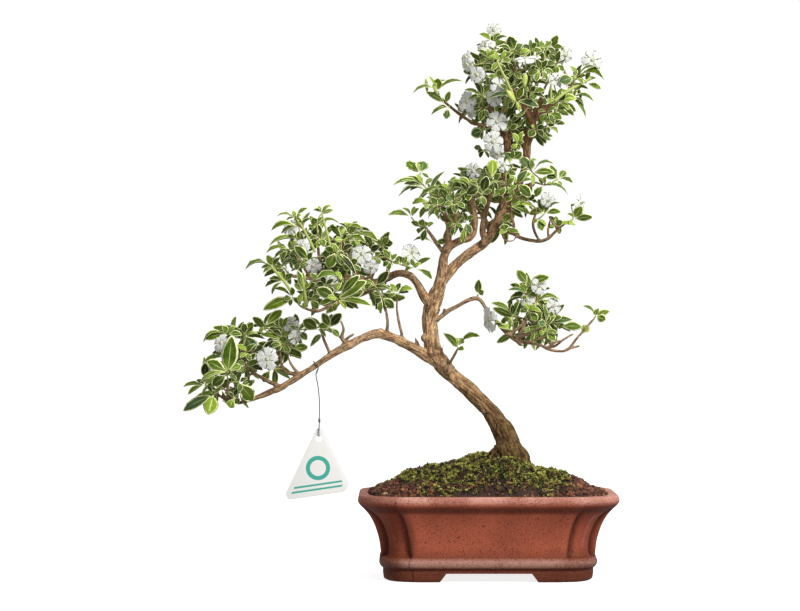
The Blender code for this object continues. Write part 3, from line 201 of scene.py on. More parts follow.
# Rosettes of leaves, by the spray they belong to: "column row depth: leaves;", with the depth in mm.
# Each leaf is "tip column, tip row, width in squares, roll and age", where a roll of 0 shows the
# blade flat to the front and one of 9 edge-on, and the age is d dark, g green, y young or s silvery.
SPRAYS = {
    "spray_crown_twig": """438 91 0: 412 94 6 5g, 438 78 10 0g, 464 82 6 5g, 446 80 4 6d, 428 76 4 3y;
        445 104 2: 426 92 8 2d, 450 91 6 1g, 435 97 5 3y; 449 107 -2: 446 119 8 1s, 431 115 5 4d,
        437 109 5 3g; 466 114 2: 454 103 4 2d, 463 109 6 3g, 472 108 4 2d""",
    "spray_crown_second": """493 42 12: 479 34 7 4g, 500 33 8 1g, 508 37 5 4s, 488 50 4 3d;
        489 60 0: 477 50 5 3d, 482 55 5 4y, 487 48 5 2y, 496 50 5 3y, 500 59 6 2y, 480 63 5 4g, 494 70 7 1g;
        478 68 14: 464 66 4 5d, 466 73 4 3d, 474 59 4 2d, 486 74 6 1d, 482 62 5 3g; 482 97 -14: 473 79 5 2d,
        479 82 7 1s, 464 90 5 4g, 470 99 5 4g, 490 85 6 2g, 492 93 6 2y, 477 104 5 3d;
        484 108 0: 480 121 7 1d, 473 106 5 3d, 490 102 5 3g, 488 117 5 2g, 474 113 4 4g""",
    "spray_crown_left": """514 52 -14: 509 36 12 0g, 498 47 5 4d, 523 44 8 3s, 503 57 6 2d, 519 62 6 2d,
        527 54 5 4g; 500 62 -18: 488 57 5 4y, 494 52 5 2y, 506 50 5 2y, 511 60 6 2g, 492 71 6 2g,
        505 72 5 1d; 500 78 -24: 487 77 6 3g, 498 70 7 1g, 489 84 5 4d, 508 82 5 2d;
        516 101 -38: 488 99 6 6s, 505 86 7 1y, 523 87 8 1d, 539 107 8 2s, 509 108 6 3g, 520 112 5 2y,
        509 95 5 3y""",
    "spray_crown_middle": """531 50 -24: 523 45 6 3s, 537 43 6 3g, 520 53 6 3y, 542 51 6 3g, 530 39 5 2g,
        527 59 5 2d; 545 48 -14: 539 42 6 3g, 552 41 5 2g, 555 53 6 3d, 537 55 6 3g, 548 58 6 1d;
        541 70 -36: 527 64 6 4g, 535 59 7 3d, 548 60 6 3d, 553 73 6 3g, 528 75 7 2d, 536 82 6 2g,
        547 82 5 3d; 513 72 -30: 503 75 6 3d, 527 60 5 5d, 521 79 6 2g, 508 62 5 2g, 511 84 6 1d;
        531 93 -42: 536 86 6 2d, 545 90 6 3g, 534 100 8 2d, 521 86 5 2g, 545 98 5 3d""",
    "spray_crown_right": """551 48 -4: 558 35 8 1g, 563 47 6 2g, 545 41 4 4d, 541 47 5 4g;
        557 64 -20: 549 54 7 2d, 545 64 7 3d, 560 50 6 2d, 567 60 5 4d, 556 76 8 1g, 564 71 6 2g;
        577 76 6: 604 80 8 5g, 601 70 4 6g, 570 66 5 3y, 583 64 4 3g, 568 82 5 3g; 586 83 10: 601 89 7 2g,
        596 78 5 4y, 577 90 5 3y, 590 72 5 3g; 574 78 -26: 559 82 12 1s, 577 70 5 2g, 583 84 5 4g;
        572 97 -8: 594 102 5 5s, 584 106 4 5s, 586 118 5 3s, 560 90 5 3y, 568 88 5 2y, 578 90 4 4y""",
    "spray_crown_back": """560 56 20: 566 49 5 2y, 570 58 5 3g, 553 60 5 3d; 521 58 26: 515 50 6 2d,
        529 51 6 2g, 512 60 5 3g""",
    "spray_crown_low_right": """558 101 -22: 577 99 10 3y, 566 94 8 2d, 547 102 7 2y, 569 110 6 4g,
        552 90 6 2g, 562 88 5 3y, 556 112 5 3g; 547 112 -24: 562 119 9 2d, 541 121 8 1d, 554 124 6 2g,
        557 108 5 4g, 538 112 4 4d; 546 126 -16: 558 133 5 4g, 537 129 6 3d, 549 133 4 3g;
        536 129 -14: 529 137 9 1d, 543 137 6 3g, 531 126 4 3y""",
    "spray_crown_front": """509 129 -18: 502 131 5 4d, 518 126 7 3d, 512 120 5 2g;
        518 144 -12: 513 133 6 2y, 523 131 6 2y, 512 149 6 2y, 524 142 5 3g, 519 150 6 1g;
        484 130 -6: 471 135 12 1s, 493 131 6 3d, 482 140 4 4s; 484 150 -4: 474 147 6 2s, 478 153 5 4d,
        480 158 5 3d, 489 158 4 3d; 508 92 -40: 500 84 5 3d, 517 86 5 3g, 503 97 5 3d""",
    "spray_middle_left": """420 173 -26: 406 162 10 1g, 424 161 13 0s, 416 163 4 3y, 412 170 4 3y,
        429 178 4 2s; 424 186 -28: 393 185 5 5g, 405 178 5 4g, 404 184 7 3s, 410 191 5 4g, 416 174 5 2y,
        432 178 5 2g; 430 192 -28: 398 197 4 6s, 446 171 5 3s, 442 186 4 5g, 421 199 4 4g;
        450 192 -32: 418 199 5 5g, 456 176 5 3g, 441 184 5 4y, 462 189 5 4g""",
    "spray_middle_twig": """411 217 -16: 388 215 7 4g, 415 206 4 2y, 419 208 4 3g, 402 208 4 5g;
        421 227 -14: 411 222 6 3d, 423 219 8 1g, 418 233 5 3g, 430 224 5 3y; 427 227 -12: 422 241 7 1d,
        418 234 4 4d, 434 223 5 3y; 434 243 -8: 413 241 5 4g, 447 242 7 2g""",
    "spray_middle_front": """430 203 -36: 412 204 7 4g, 420 218 6 3g, 433 196 6 2g, 425 209 5 4y;
        438 206 -40: 431 198 7 2d, 444 198 7 2d, 428 210 5 4g, 446 212 6 2d, 437 217 5 2g, 449 204 5 3g;
        454 203 -44: 447 195 7 2s, 462 198 6 3d, 444 206 6 3g, 465 208 6 3g, 455 214 7 1d, 454 191 5 3g;
        480 187 -46: 466 194 10 1d, 470 183 5 4g; 470 189 -42: 461 183 8 2d, 458 178 5 4g, 449 182 5 4g,
        468 201 8 2d, 477 179 5 3g, 460 195 5 4g; 482 195 -40: 487 176 11 0d, 492 190 5 3d, 485 206 6 2d,
        476 206 6 2g; 455 224 -22: 449 214 5 2g, 462 216 5 3d, 452 236 5 2g, 446 226 5 3d, 463 228 4 3g;
        466 222 -18: 463 244 6 2y, 471 234 6 2s, 462 212 5 3g, 474 216 5 3d""",
    "spray_middle_upper": """472 178 -22: 460 172 9 2s, 465 167 4 5s, 479 165 6 3g, 482 173 5 2g,
        466 184 5 3g; 484 176 -28: 476 168 5 3g, 488 165 6 2g, 478 184 5 3d""",
    "spray_middle_centre": """493 180 -32: 493 159 12 0y, 501 174 6 2g, 485 168 5 2g, 497 190 5 3d,
        487 187 4 3d; 506 172 -26: 513 165 6 3d, 509 180 6 2g, 502 160 5 2y, 516 174 6 2g, 499 168 5 3g;
        507 186 -28: 500 196 6 2d, 515 178 6 3g, 498 182 5 3g, 513 196 6 2g; 517 184 -26: 528 170 8 2s,
        533 180 5 4g, 531 197 11 1d, 511 190 6 3g, 509 175 5 3y; 512 160 -14: 505 153 9 1s, 522 152 10 1d,
        514 150 5 2d, 506 163 5 3y; 514 196 -22: 523 192 7 2g, 505 201 6 2d""",
    "spray_middle_right": """532 172 -14: 555 173 9 2g, 520 157 11 1s, 531 159 6 2g, 554 164 4 6s,
        523 178 6 3g, 533 185 5 2y; 544 185 0: 568 195 5 5s, 535 197 8 2g, 546 176 5 3y, 538 178 6 3g,
        555 186 4 5y; 558 179 8: 550 165 6 2g, 566 171 8 1g, 573 183 5 4g, 546 177 8 3s, 561 187 4 3y;
        528 162 -10: 521 170 6 3d, 534 168 6 3g, 537 160 4 4y""",
    "spray_middle_back": """440 196 18: 434 188 6 2g, 448 190 5 3d, 428 194 5 4g""",
    "spray_middle_back_right": """509 206 2: 530 214 8 3g, 534 208 5 4y, 520 200 6 3d, 521 214 6 3g;
        528 201 14: 521 196 6 3d, 535 195 6 2d, 532 210 5 2g""",
    "spray_curling_end": """545 213 -14: 529 214 8 3g, 561 212 7 3g, 538 199 8 1g, 561 203 4 5s,
        549 205 5 3g, 535 208 4 4y; 555 226 -12: 549 216 6 3g, 556 216 7 1g, 563 221 7 2g, 577 226 5 4y,
        549 228 5 3y, 560 234 6 3g; 573 219 -14: 582 206 10 0g, 593 217 8 1g, 567 214 4 4y, 570 225 4 3y;
        538 219 -16: 542 231 9 1g, 547 226 4 3y, 534 223 4 3g; 503 223 -4: 511 213 8 2g, 505 230 11 0g;
        508 230 -6: 519 232 6 2g, 499 234 5 3y""",
    "spray_upper_outer": """296 217 -10: 308 208 5 3g, 276 217 4 5g, 292 211 5 2y, 286 221 3 5g,
        302 215 4 3y; 299 227 -8: 271 231 7 4g, 281 234 5 4d, 312 218 4 3g, 296 219 4 2y;
        299 240 -8: 269 246 4 5g, 283 238 5 4d, 303 244 7 2g, 276 242 5 4g, 291 246 5 3y;
        288 250 -12: 266 253 5 5g, 276 245 5 3g, 274 259 4 4d, 283 259 5 3g""",
    "spray_upper_rise": """321 214 10: 313 210 4 4d, 332 205 4 4y, 334 210 5 3g, 318 206 4 2y, 326 209 4 2y;
        317 225 4: 312 218 8 1d, 341 225 5 6g, 310 227 5 3y, 314 236 8 1d, 323 217 4 3d;
        321 238 -4: 333 240 6 4g, 324 247 8 1d, 309 239 5 4g, 318 248 6 2y, 329 232 4 4g""",
    "spray_upper_rise_near": """347 228 -14: 363 229 5 4g, 339 229 5 3g, 345 222 4 2y, 353 224 4 3y,
        341 235 4 3y; 343 240 -18: 354 237 6 3d, 335 240 7 2y, 366 243 5 5g, 336 249 5 3g, 350 248 6 3g;
        352 237 -12: 378 241 7 5g, 362 233 4 5g, 360 250 5 3y; 341 251 -22: 353 245 7 3d, 332 247 6 2g,
        347 260 6 3d""",
    "spray_upper_inner": """402 265 -16: 398 256 8 1g, 407 256 7 2g, 393 262 5 3g, 410 264 5 3y;
        413 268 -20: 431 258 6 3g, 411 259 5 2g, 432 279 6 3g, 421 263 5 3y, 405 271 5 4d;
        391 261 -12: 383 249 7 2g, 397 254 5 3g, 383 266 6 3g, 389 271 5 2d""",
    "spray_upper_inner_back": """382 246 8: 389 237 7 2g, 393 243 8 2g, 371 250 8 2d, 380 237 4 4y,
        388 249 6 3g, 372 240 5 4g; 374 258 0: 380 252 6 3d, 368 253 7 2d, 380 264 6 3g, 367 262 5 3y,
        374 268 5 2d""",
    "spray_upper_front": """336 252 -36: 328 268 12 1d, 342 266 8 2d, 325 248 7 2d, 356 276 7 3d,
        333 243 6 2y, 344 256 6 3g; 350 264 -34: 358 260 8 2d, 346 271 8 2d, 343 258 5 3g, 361 271 5 3g;
        343 281 -44: 315 280 8 6g, 335 272 5 3y, 336 292 5 3y; 338 300 -46: 367 281 13 2d, 360 275 9 2d,
        372 306 7 3g, 316 289 12 1d, 320 305 6 3g, 334 311 6 2d, 327 297 6 3y, 346 309 5 3y;
        326 286 -38: 316 284 6 3d, 334 279 5 3g, 321 276 6 2d, 333 293 6 3d; 366 290 -14: 350 298 9 2d,
        372 283 5 3g, 358 285 5 3g""",
    "spray_upright_near": """397 294 -6: 413 289 6 5y, 390 284 5 3y, 409 292 4 4s, 366 291 5 5g,
        400 283 6 2g, 388 299 4 4g; 382 297 -12: 394 308 10 1d, 376 304 7 2d, 381 314 6 2g, 372 293 5 3g;
        375 286 -10: 389 271 9 1d, 378 301 7 2d, 365 280 5 3g, 385 283 5 3d""",
    "spray_upper_lower": """303 292 -26: 297 270 7 2g, 304 272 6 2y, 310 284 6 3y, 294 284 6 2g,
        312 295 7 2d, 299 303 6 2y, 307 305 6 1y; 292 297 -22: 263 310 11 2g, 284 300 7 3s, 274 289 5 4d,
        301 304 6 2g, 291 287 6 2d, 290 306 5 3g; 309 300 -28: 318 309 8 2d, 314 290 6 2d, 320 297 6 3g,
        303 309 6 3y; 318 282 -30: 310 274 6 3d, 327 274 5 4g, 311 287 6 3g""",
    "spray_upper_end": """274 267 0: 245 270 3 6s, 261 268 5 4g, 267 255 7 1y, 263 273 4 4g, 281 257 5 3g,
        273 259 5 2y; 283 281 -4: 265 287 5 4d, 269 279 5 4g, 272 295 4 4g, 284 270 6 2g, 293 274 7 2d,
        276 272 5 3y; 309 262 -14: 294 246 10 1d, 300 266 6 3g, 312 252 6 2d; 299 262 -10: 291 262 9 1s,
        289 254 5 3g, 305 268 7 2d, 296 270 6 2g, 285 263 5 4g""",
    "spray_upper_back": """330 262 14: 322 256 6 2d, 337 255 6 2d, 325 269 6 2g""",
    "spray_lower_far": """213 395 -20: 183 411 11 2s, 208 415 16 0y, 222 387 5 3g, 207 386 4 4d;
        205 385 -20: 188 395 6 3g, 183 387 5 4d, 196 380 4 4s, 212 379 6 3y""",
    "spray_lower_end": """228 372 -36: 232 335 17 0d, 207 361 12 1g, 200 382 6 4g, 241 366 8 2g,
        219 366 5 4g; 227 375 -32: 212 386 11 1d, 237 380 4 4s; 206 380 -30: 205 362 9 1d, 214 371 6 3d;
        225 357 -24: 204 362 6 4g, 212 353 6 4d, 232 351 5 3g, 222 368 7 2y; 239 382 -26: 253 401 15 1d,
        239 392 6 2d, 248 379 5 4g; 234 398 -26: 239 403 7 1d, 230 408 10 2y, 228 392 4 3d, 238 388 5 2d""",
    "spray_lower_fork": """229 334 -12: 205 339 9 3g, 222 326 7 3g, 203 343 4 5g, 236 326 5 3y,
        242 335 7 3g, 231 326 5 2g; 245 336 -6: 243 323 8 2d, 253 322 9 1g, 239 330 6 3g, 258 333 4 4y,
        254 351 15 1s; 247 352 -8: 237 345 6 3y, 256 344 6 3g, 241 358 6 3y, 250 361 6 2g;
        246 367 -10: 256 353 7 2d, 259 361 7 2d, 263 370 6 4d, 238 361 6 3d, 236 372 5 3g""",
    "spray_lower_upper": """283 340 -10: 262 350 10 2d, 261 335 7 4g, 272 331 6 4d, 291 331 5 3y;
        283 345 -12: 284 336 9 2d, 270 347 6 3g, 290 352 7 2d, 276 351 6 3g; 289 344 -8: 300 339 7 3d,
        296 349 4 4g; 293 348 -6: 308 347 9 2g; 284 330 -6: 280 318 9 2g, 288 317 5 3g, 289 326 6 2y,
        261 331 7 5g; 265 327 -8: 282 310 10 1g, 259 333 5 3g; 272 369 -12: 263 382 9 1g""",
    "spray_lower_inner": """330 328 -24: 322 313 9 1g, 342 313 10 1d, 339 337 7 2g, 318 326 8 3g;
        319 330 -22: 303 320 13 1d, 303 333 4 5d, 326 337 4 3g; 296 332 -14: 307 340 8 2s, 289 326 4 4g""",
    "spray_right_upper": """478 294 -7: 479 279 8 0g, 484 291 7 1g; 528 284 -8: 517 270 10 1g,
        550 277 10 2g; 527 295 -10: 521 284 9 1g, 532 286 7 2g, 533 295 6 3d, 539 293 7 2d, 508 290 4 5s,
        523 300 5 2d; 537 301 -6: 561 301 7 5g, 545 305 5 4d, 531 307 5 3g; 512 316 -13: 491 303 6 4g,
        512 304 7 2d, 520 300 6 2g, 517 312 8 2s, 505 321 5 3d, 509 331 5 2g; 513 331 -14: 518 321 6 2d,
        498 327 6 4y, 490 326 4 5d; 529 311 -12: 520 312 6 3g, 537 321 9 2g, 525 303 6 2y, 536 305 6 2y,
        541 312 5 4y, 528 321 5 2g""",
    "spray_right_middle": """546 326 -32: 544 311 9 1g, 549 315 6 2d, 538 322 8 2s, 543 304 5 2g,
        556 316 6 3g; 552 322 -30: 562 317 6 4g, 573 320 8 3s, 551 311 5 2d; 559 326 -28: 582 327 10 2g,
        560 329 4 4d; 546 332 -30: 555 341 8 2g, 539 334 6 3y, 552 329 6 2y, 543 326 6 2y, 558 334 4 4g;
        531 332 -26: 524 328 5 3g, 535 332 5 2g""",
    "spray_right_tip": """596 316 -17: 583 306 4 5s, 595 309 6 2g, 610 311 7 2g, 606 320 9 1g, 599 308 4 3y;
        581 335 -18: 588 325 9 1y""",
    "spray_trunk_shoot": """458 347 -10: 443 333 8 3g, 480 336 6 5g, 454 338 9 1y, 462 338 8 1y,
        464 350 6 3d, 452 345 4 4d""",
}
ROSETTES = {spray: rosettes_of(text) for spray, text in SPRAYS.items()}


# ---------------------------------------------------------------- node trees written as sums
def operation_of(operation, swapped=False):
    """A method of Value that puts one math node on its number and another one."""
    def compute(self, other=0.0):
        values = (other, self) if swapped else (self, other)
        return self.graph.node("ShaderNodeMath", {"operation": operation}, dict(enumerate(values)))
    return compute


class Value:
    """One output of a node, so that its numbers can be added, multiplied and compared."""

    def __init__(self, graph, socket):
        self.graph = graph
        self.socket = socket

    __add__ = __radd__ = operation_of("ADD")
    __sub__ = operation_of("SUBTRACT")
    __rsub__ = operation_of("SUBTRACT", True)
    __mul__ = __rmul__ = operation_of("MULTIPLY")
    __truediv__ = operation_of("DIVIDE")
    __pow__ = operation_of("POWER")
    size = operation_of("ABSOLUTE")
    wave = operation_of("SINE")
    least = operation_of("MINIMUM")
    most = operation_of("MAXIMUM")

    def rise(self, low, high):
        """0 below low, 1 above high, and smooth between; falls where low is above high."""
        return self.graph.node("ShaderNodeMapRange", {"interpolation_type": "SMOOTHSTEP"},
                               {0: self, 1: low, 2: high, 3: 0.0, 4: 1.0})

    def beside(self, output):
        """Another output of the same node."""
        return Value(self.graph, self.socket.node.outputs[output])


class Graph:
    """A node tree of a material or of Geometry Nodes."""

    def __init__(self, tree):
        self.tree = tree
        tree.nodes.clear()

    def node(self, kind, settings=None, inputs=None, output=0):
        made = self.tree.nodes.new(kind)
        for name, value in (settings or {}).items():
            setattr(made, name, value)
        for name, value in (inputs or {}).items():
            if isinstance(value, Value):
                self.tree.links.new(value.socket, made.inputs[name])
            elif value is not None:
                made.inputs[name].default_value = value
        return Value(self, made.outputs[output]) if made.outputs else None

    def noise(self, where, scale, detail=3.0, **more):
        return self.node("ShaderNodeTexNoise", {},
                         {"Vector": where, "Scale": scale, "Detail": detail, **more}, "Fac")

    def mix(self, factor, first, second, blend="MIX"):
        """Blend of two colours, each three numbers or a value."""
        first, second = (side if isinstance(side, Value) else (*side, 1.0) for side in (first, second))
        return self.node("ShaderNodeMix", {"data_type": "RGBA", "blend_type": blend},
                         {0: factor, 6: first, 7: second}, 2)

    def over(self, colour, *layers):
        """The colour under layers laid on in turn, each (how much of it, its chart colour)."""
        for much, chart in layers:
            colour = self.mix(much, colour, linear(*chart))
        return colour

    def ramp(self, factor, stops):
        made = self.node("ShaderNodeValToRGB", {}, {"Fac": factor})
        elements = made.socket.node.color_ramp.elements
        while len(elements) < len(stops):
            elements.new(0.5)
        for element, (position, colour) in zip(elements, stops):
            element.position = position
            element.color = (*colour, 1.0)
        return made

    def vector(self, operation, first, second):
        name = "Scale" if operation == "SCALE" else 1
        return self.node("ShaderNodeVectorMath", {"operation": operation}, {0: first, name: second})

    def attribute(self, name, output="Fac"):
        return self.node("ShaderNodeAttribute", {"attribute_name": name}, output=output)


class Finish(Graph):
    """A material: node values for what changes over the surface, plain numbers for the rest."""

    def __init__(self, name):
        self.material = bpy.data.materials.new(name)
        self.material.use_nodes = True
        super().__init__(self.material.node_tree)
        self.object = self.node("ShaderNodeTexCoord", output="Object")

    def split(self, vector):
        made = self.node("ShaderNodeSeparateXYZ", {}, {0: vector})
        return made, made.beside(1), made.beside(2)

    def across_and_along(self):
        """The UV places: across from 0 to 1, and along from 0 to 1."""
        return self.split(self.node("ShaderNodeTexCoord", output="UV"))[:2]

    def done(self, colour, roughness, height=None, depth=0.0003, strength=0.6, **constants):
        inputs = {"Base Color": colour, "Roughness": roughness}
        for name, value in constants.items():
            inputs[name.replace("_", " ")] = value
        if height is not None:
            inputs["Normal"] = self.node("ShaderNodeBump", {}, {"Height": height, "Distance": depth,
                                                                "Strength": strength})
        shader = self.node("ShaderNodeBsdfPrincipled", {}, inputs)
        self.node("ShaderNodeOutputMaterial", {}, {"Surface": shader})
        return self.material


def linear(red, green, blue):
    """A colour read off a chart from 0 to 255, as shader numbers."""
    return tuple(((c / 255 + 0.055) / 1.055) ** 2.4 if c > 10 else c / 255 / 12.92
                 for c in (red, green, blue))


def shade(tint, share):
    return [c * share for c in tint]


# ---------------------------------------------------------------- finishes
def clay_finish(tint):
    """Unglazed clay: painted sheen on the lip and band, painted shade in the hollows and on both ends, darker
    low down.
    """
    g = Finish("clay")
    broad = g.noise(g.object, 26.0, 4.0)
    streak = g.noise(g.vector("MULTIPLY", g.object, (1.0, 1.0, 0.22)), 120.0)
    grain = g.noise(g.object, 1250.0, 5.0, Roughness=0.7)
    fine = g.noise(g.object, 3200.0, 2.0)
    speck = g.noise(g.object, 980.0).rise(0.42, 0.33)
    pale = g.noise(g.object, 1300.0).rise(0.55, 0.68)
    x, _, z = g.split(g.object)
    left, right = x.rise(0.010, -0.008), x.rise(0.130, 0.150)
    # Painted sheen on the lip and the lower band, weaker on the shaded left end.
    painted_sheen = g.attribute("painted_sheen") * (1.0 - left * 0.55)
    colour = g.mix(broad.rise(0.3, 0.7), shade(tint, 0.74), shade(tint, 1.20))
    colour = g.over(colour, (streak.rise(0.4, 0.75) * 0.25, (118, 66, 48)))
    colour = g.mix(grain.rise(0.35, 0.7) * 0.5, colour, shade(tint, 1.5))
    # Layers: painted shade on both ends of the pot, deeper on the left; darker low down; painted sheen;
    # painted shade in the hollows; then dark and pale specks.
    colour = g.over(colour, (left * 0.8 + right * 0.4, (112, 44, 16)),
                    (z.rise(0.030, 0.012) * 0.8, (74, 36, 18)),
                    (painted_sheen * (0.18 + pale * 0.55 + broad.rise(0.42, 0.6) * 0.27), (232, 184, 168)),
                    (g.attribute("hollow_shade").rise(0.0, 0.8) * 0.75, (66, 24, 10)),
                    (speck * 0.82, (52, 20, 12)), (pale * 0.22, (196, 130, 112)))
    height = grain * 0.6 + fine * 0.25 - speck * 0.5 + broad * 0.5
    return g.done(colour, 0.50 + grain * 0.22 - painted_sheen * 0.1, height, 0.0004, 0.55,
                  Specular_IOR_Level=0.12)


# Brightness by height: the darkest end near the soil is painted shade where the trunk's foot sits among the
# moss.
BARK_BY_HEIGHT = [  # share of the tree's height, and how bright its red, green and blue are there
    (0.22, (0.24, 0.21, 0.13)), (0.30, (0.50, 0.44, 0.32)), (0.38, (1.05, 0.99, 0.88)),
    (0.47, (1.30, 1.27, 1.20)), (0.60, (1.15, 1.10, 1.02)), (0.74, (0.90, 0.78, 0.66)),
    (0.88, (0.74, 0.58, 0.46))]


def bark_finish(tint):
    """Flaking bark, pale in the middle and red-brown at the top, with lichen near the soil, where painted
    shade darkens it.
    """
    g = Finish("bark")
    along = g.attribute("grain", "Vector")
    long = g.vector("MULTIPLY", along, (1.0, 1.0, 0.22))
    plates = g.noise(long, 420.0, 8.0, Roughness=0.72, Distortion=0.9)
    crack = g.noise(long, 760.0, 6.0, Roughness=0.66, Distortion=1.0).rise(0.46, 0.36)
    cross = g.noise(g.vector("MULTIPLY", along, (0.25, 0.25, 1.0)), 700.0, 4.0)
    broad = g.noise(g.object, 60.0, 4.0)
    fine = g.noise(g.object, 2400.0, 4.0)
    stain = g.noise(g.object, 150.0, 4.0).rise(0.52, 0.64)
    height_up = g.split(g.object)[2] + (broad - 0.5) * 0.05
    colour = g.mix(plates.rise(0.30, 0.70), shade(tint, 0.46), [min(1.0, c * 1.7) for c in tint])
    colour = g.over(colour, (broad.rise(0.45, 0.75) * 0.35, (198, 166, 136)),
                    (stain * 0.55, (116, 70, 46)),
                    ((1.0 - g.attribute("thick")) * 0.55, (120, 102, 86)))
    # The height ramp darkens the foot of the trunk with painted shade.
    colour = g.mix(1.0, colour, g.ramp(height_up / 0.42, BARK_BY_HEIGHT), "MULTIPLY")
    colour = g.over(colour, (crack * 0.62, (78, 52, 34)),
                    (g.attribute("pit").rise(0.30, 0.95) * 0.6, (66, 44, 28)),
                    (cross.rise(0.60, 0.72) * 0.3, (96, 66, 44)),
                    (height_up.rise(0.135, 0.095) * plates.rise(0.52, 0.66) * 0.75, (128, 122, 48)))
    height = plates * 0.8 - crack * 1.2 + cross * 0.3 + fine * 0.25
    return g.done(colour, 0.74 + fine * 0.2, height, 0.0011, 1.0, Specular_IOR_Level=0.25)


def leaf_finish(tint, margin_tint):
    """Green blade with a cream margin and a pale midrib; the edge attribute is 0 at the rim."""
    g = Finish("leaf")
    across, along = g.across_and_along()
    edge, under, tone, youth, silver = (g.attribute(name) for name in
                                        ("edge", "under", "tone", "youth", "silver"))
    off = (across - 0.5).size() * 2.0
    wander = g.noise(g.object, 420.0) - 0.5
    blotch = g.noise(g.object, 230.0, 2.0)
    margin = (edge - (0.19 + 0.06 * tone + wander * 0.16)).rise(0.02, -0.02)
    rib = off.rise(0.075, 0.02) * along.rise(0.95, 0.35) * (0.25 + 0.6 * tone)
    feather = (off + wander * 0.9).rise(0.20, 0.04) * tone.rise(0.75, 1.0)
    vein = ((along * 46.0 - off * 9.0).wave()).rise(0.7, 1.0) * off.rise(0.95, 0.6)
    lit = [c * share for c, share in zip(tint, (1.9, 1.55, 0.7))]
    blade = g.mix(tone, shade(tint, 0.11), tint)
    blade = g.mix(blotch.rise(0.35, 0.7) * (0.14 + tone * 0.5), blade, lit)
    blade = g.over(blade, (youth * 0.8, (146, 176, 42)),
                   (along.rise(0.42, 0.05) * (0.2 + tone * 0.6), (150, 174, 50)),
                   (vein * 0.12, (120, 150, 60)), (silver * 0.40, (84, 116, 84)),
                   (under * 0.45, (98, 122, 46)))
    cream = g.over(margin_tint, (youth * 0.6 + along.rise(0.35, 0.0) * 0.4, (228, 236, 148)))
    colour = g.mix(margin * 0.94, g.mix(rib + feather * 0.35, blade, cream), cream)
    height = vein * 0.5 - rib * 0.8 + blotch * 0.2
    return g.done(colour, 0.46 + blotch * 0.18 + under * 0.2, height, 0.0002, 0.5,
                  Specular_IOR_Level=0.14)


def twig_finish():
    g = Finish("young_twig")
    grain = g.noise(g.object, 700.0, 4.0)
    colour = g.mix(grain, linear(96, 72, 48), linear(150, 122, 88))
    young = g.mix(grain, linear(142, 154, 66), linear(192, 202, 116))
    return g.done(g.mix(g.attribute("green"), colour, young), 0.62 + grain * 0.2, grain, 0.0003, 0.5)


def petal_finish(tint):
    g = Finish("petal")
    across, along = g.across_and_along()
    off = (across - 0.5).size() * 2.0
    soft = g.noise(g.object, 700.0, 4.0)
    line = ((off * 14.0).wave()).rise(0.5, 1.0) * along.rise(0.05, 0.35) * along.rise(1.0, 0.6)
    colour = g.over(g.mix(soft.rise(0.3, 0.7), shade(tint, 0.93), tint),
                    (along.rise(0.42, 0.05) * 0.5, (226, 226, 178)), (line * 0.10, (196, 186, 196)))
    return g.done(colour, 0.62 + soft * 0.2, soft * 0.6 - line * 0.5, 0.0004, 0.6, Sheen_Weight=0.25)


def stamen_finish():
    g = Finish("stamen")
    soft = g.noise(g.object, 1500.0, 2.0)
    return g.done(g.mix(soft, linear(196, 176, 96), linear(120, 92, 60)), 0.7 + soft * 0.1)


def bud_finish():
    g = Finish("bud")
    soft = g.noise(g.object, 320.0)
    colour = g.mix(soft.rise(0.3, 0.7), linear(170, 188, 70), linear(214, 220, 130))
    return g.done(colour, 0.5 + soft * 0.15, soft, 0.0004, 0.4)


def soil_finish(tint):
    g = Finish("soil")
    crumb = g.node("ShaderNodeTexVoronoi", {}, {"Vector": g.object, "Scale": 420.0}, "Distance")
    fine = g.noise(g.object, 1500.0, 5.0)
    colour = g.mix(g.noise(g.object, 60.0, 5.0), shade(tint, 0.5), shade(tint, 1.5))
    colour = g.mix(crumb.rise(0.25, 0.6) * 0.6, colour, shade(tint, 0.3))
    return g.done(colour, 0.86 + fine * 0.1, fine + crumb * -1.0, 0.0008, 0.9)


def grit_finish():
    """Crumbs of soil, from almost black to a few pale ones, by the tone attribute."""
    g = Finish("grit")
    fine = g.noise(g.object, 1300.0, 5.0)
    colour = g.ramp(g.attribute("tone"), [
        (0.0, linear(34, 20, 14)), (0.3, linear(66, 34, 22)), (0.6, linear(100, 54, 34)),
        (0.88, linear(142, 82, 50)), (0.985, linear(168, 108, 70)), (1.0, linear(206, 176, 130))])
    colour = g.over(colour, (fine.rise(0.3, 0.7) * 0.5, (60, 38, 28)))
    return g.done(colour, 0.85 + fine * 0.1, fine, 0.0006, 0.8)


def moss_ground_finish(tint):
    g = Finish("moss_ground")
    clump = g.noise(g.object, 120.0, 5.0)
    fine = g.noise(g.object, 1100.0, 4.0)
    colour = g.mix(clump.rise(0.3, 0.7), linear(30, 24, 14), shade(tint, 0.5))
    return g.done(colour, 0.9 + fine * 0.05, fine + clump, 0.0012, 0.9)


def moss_finish(tint):
    """Moss in green and brown patches, with painted shade at the foot of a tuft, and pale and dry spikes."""
    g = Finish("moss")
    tone = g.attribute("tone")
    patch = g.noise(g.object, 44.0, 4.0, Roughness=0.66)
    other = g.noise(g.object, 105.0, 4.0, Roughness=0.62)
    # The last layer is painted shade at the foot of each tuft.
    colour = g.over(g.mix(patch.rise(0.47, 0.55), linear(88, 50, 26), tint),
                    ((other + tone * 0.25).rise(0.58, 0.76) * 0.8, (172, 176, 60)),
                    ((other - tone * 0.2).rise(0.42, 0.28) * 0.85, (92, 66, 38)),
                    (tone.rise(0.50, 0.28) * 0.9, (20, 15, 7)),
                    (tone.rise(0.70, 0.92) * 0.75, (206, 208, 104)),
                    (tone.rise(0.08, 0.0) * 0.9, (186, 162, 112)),
                    (g.attribute("rise").rise(0.6, 0.0) * 0.85, (24, 20, 8)))
    return g.done(colour, 0.85 + patch * 0.1)


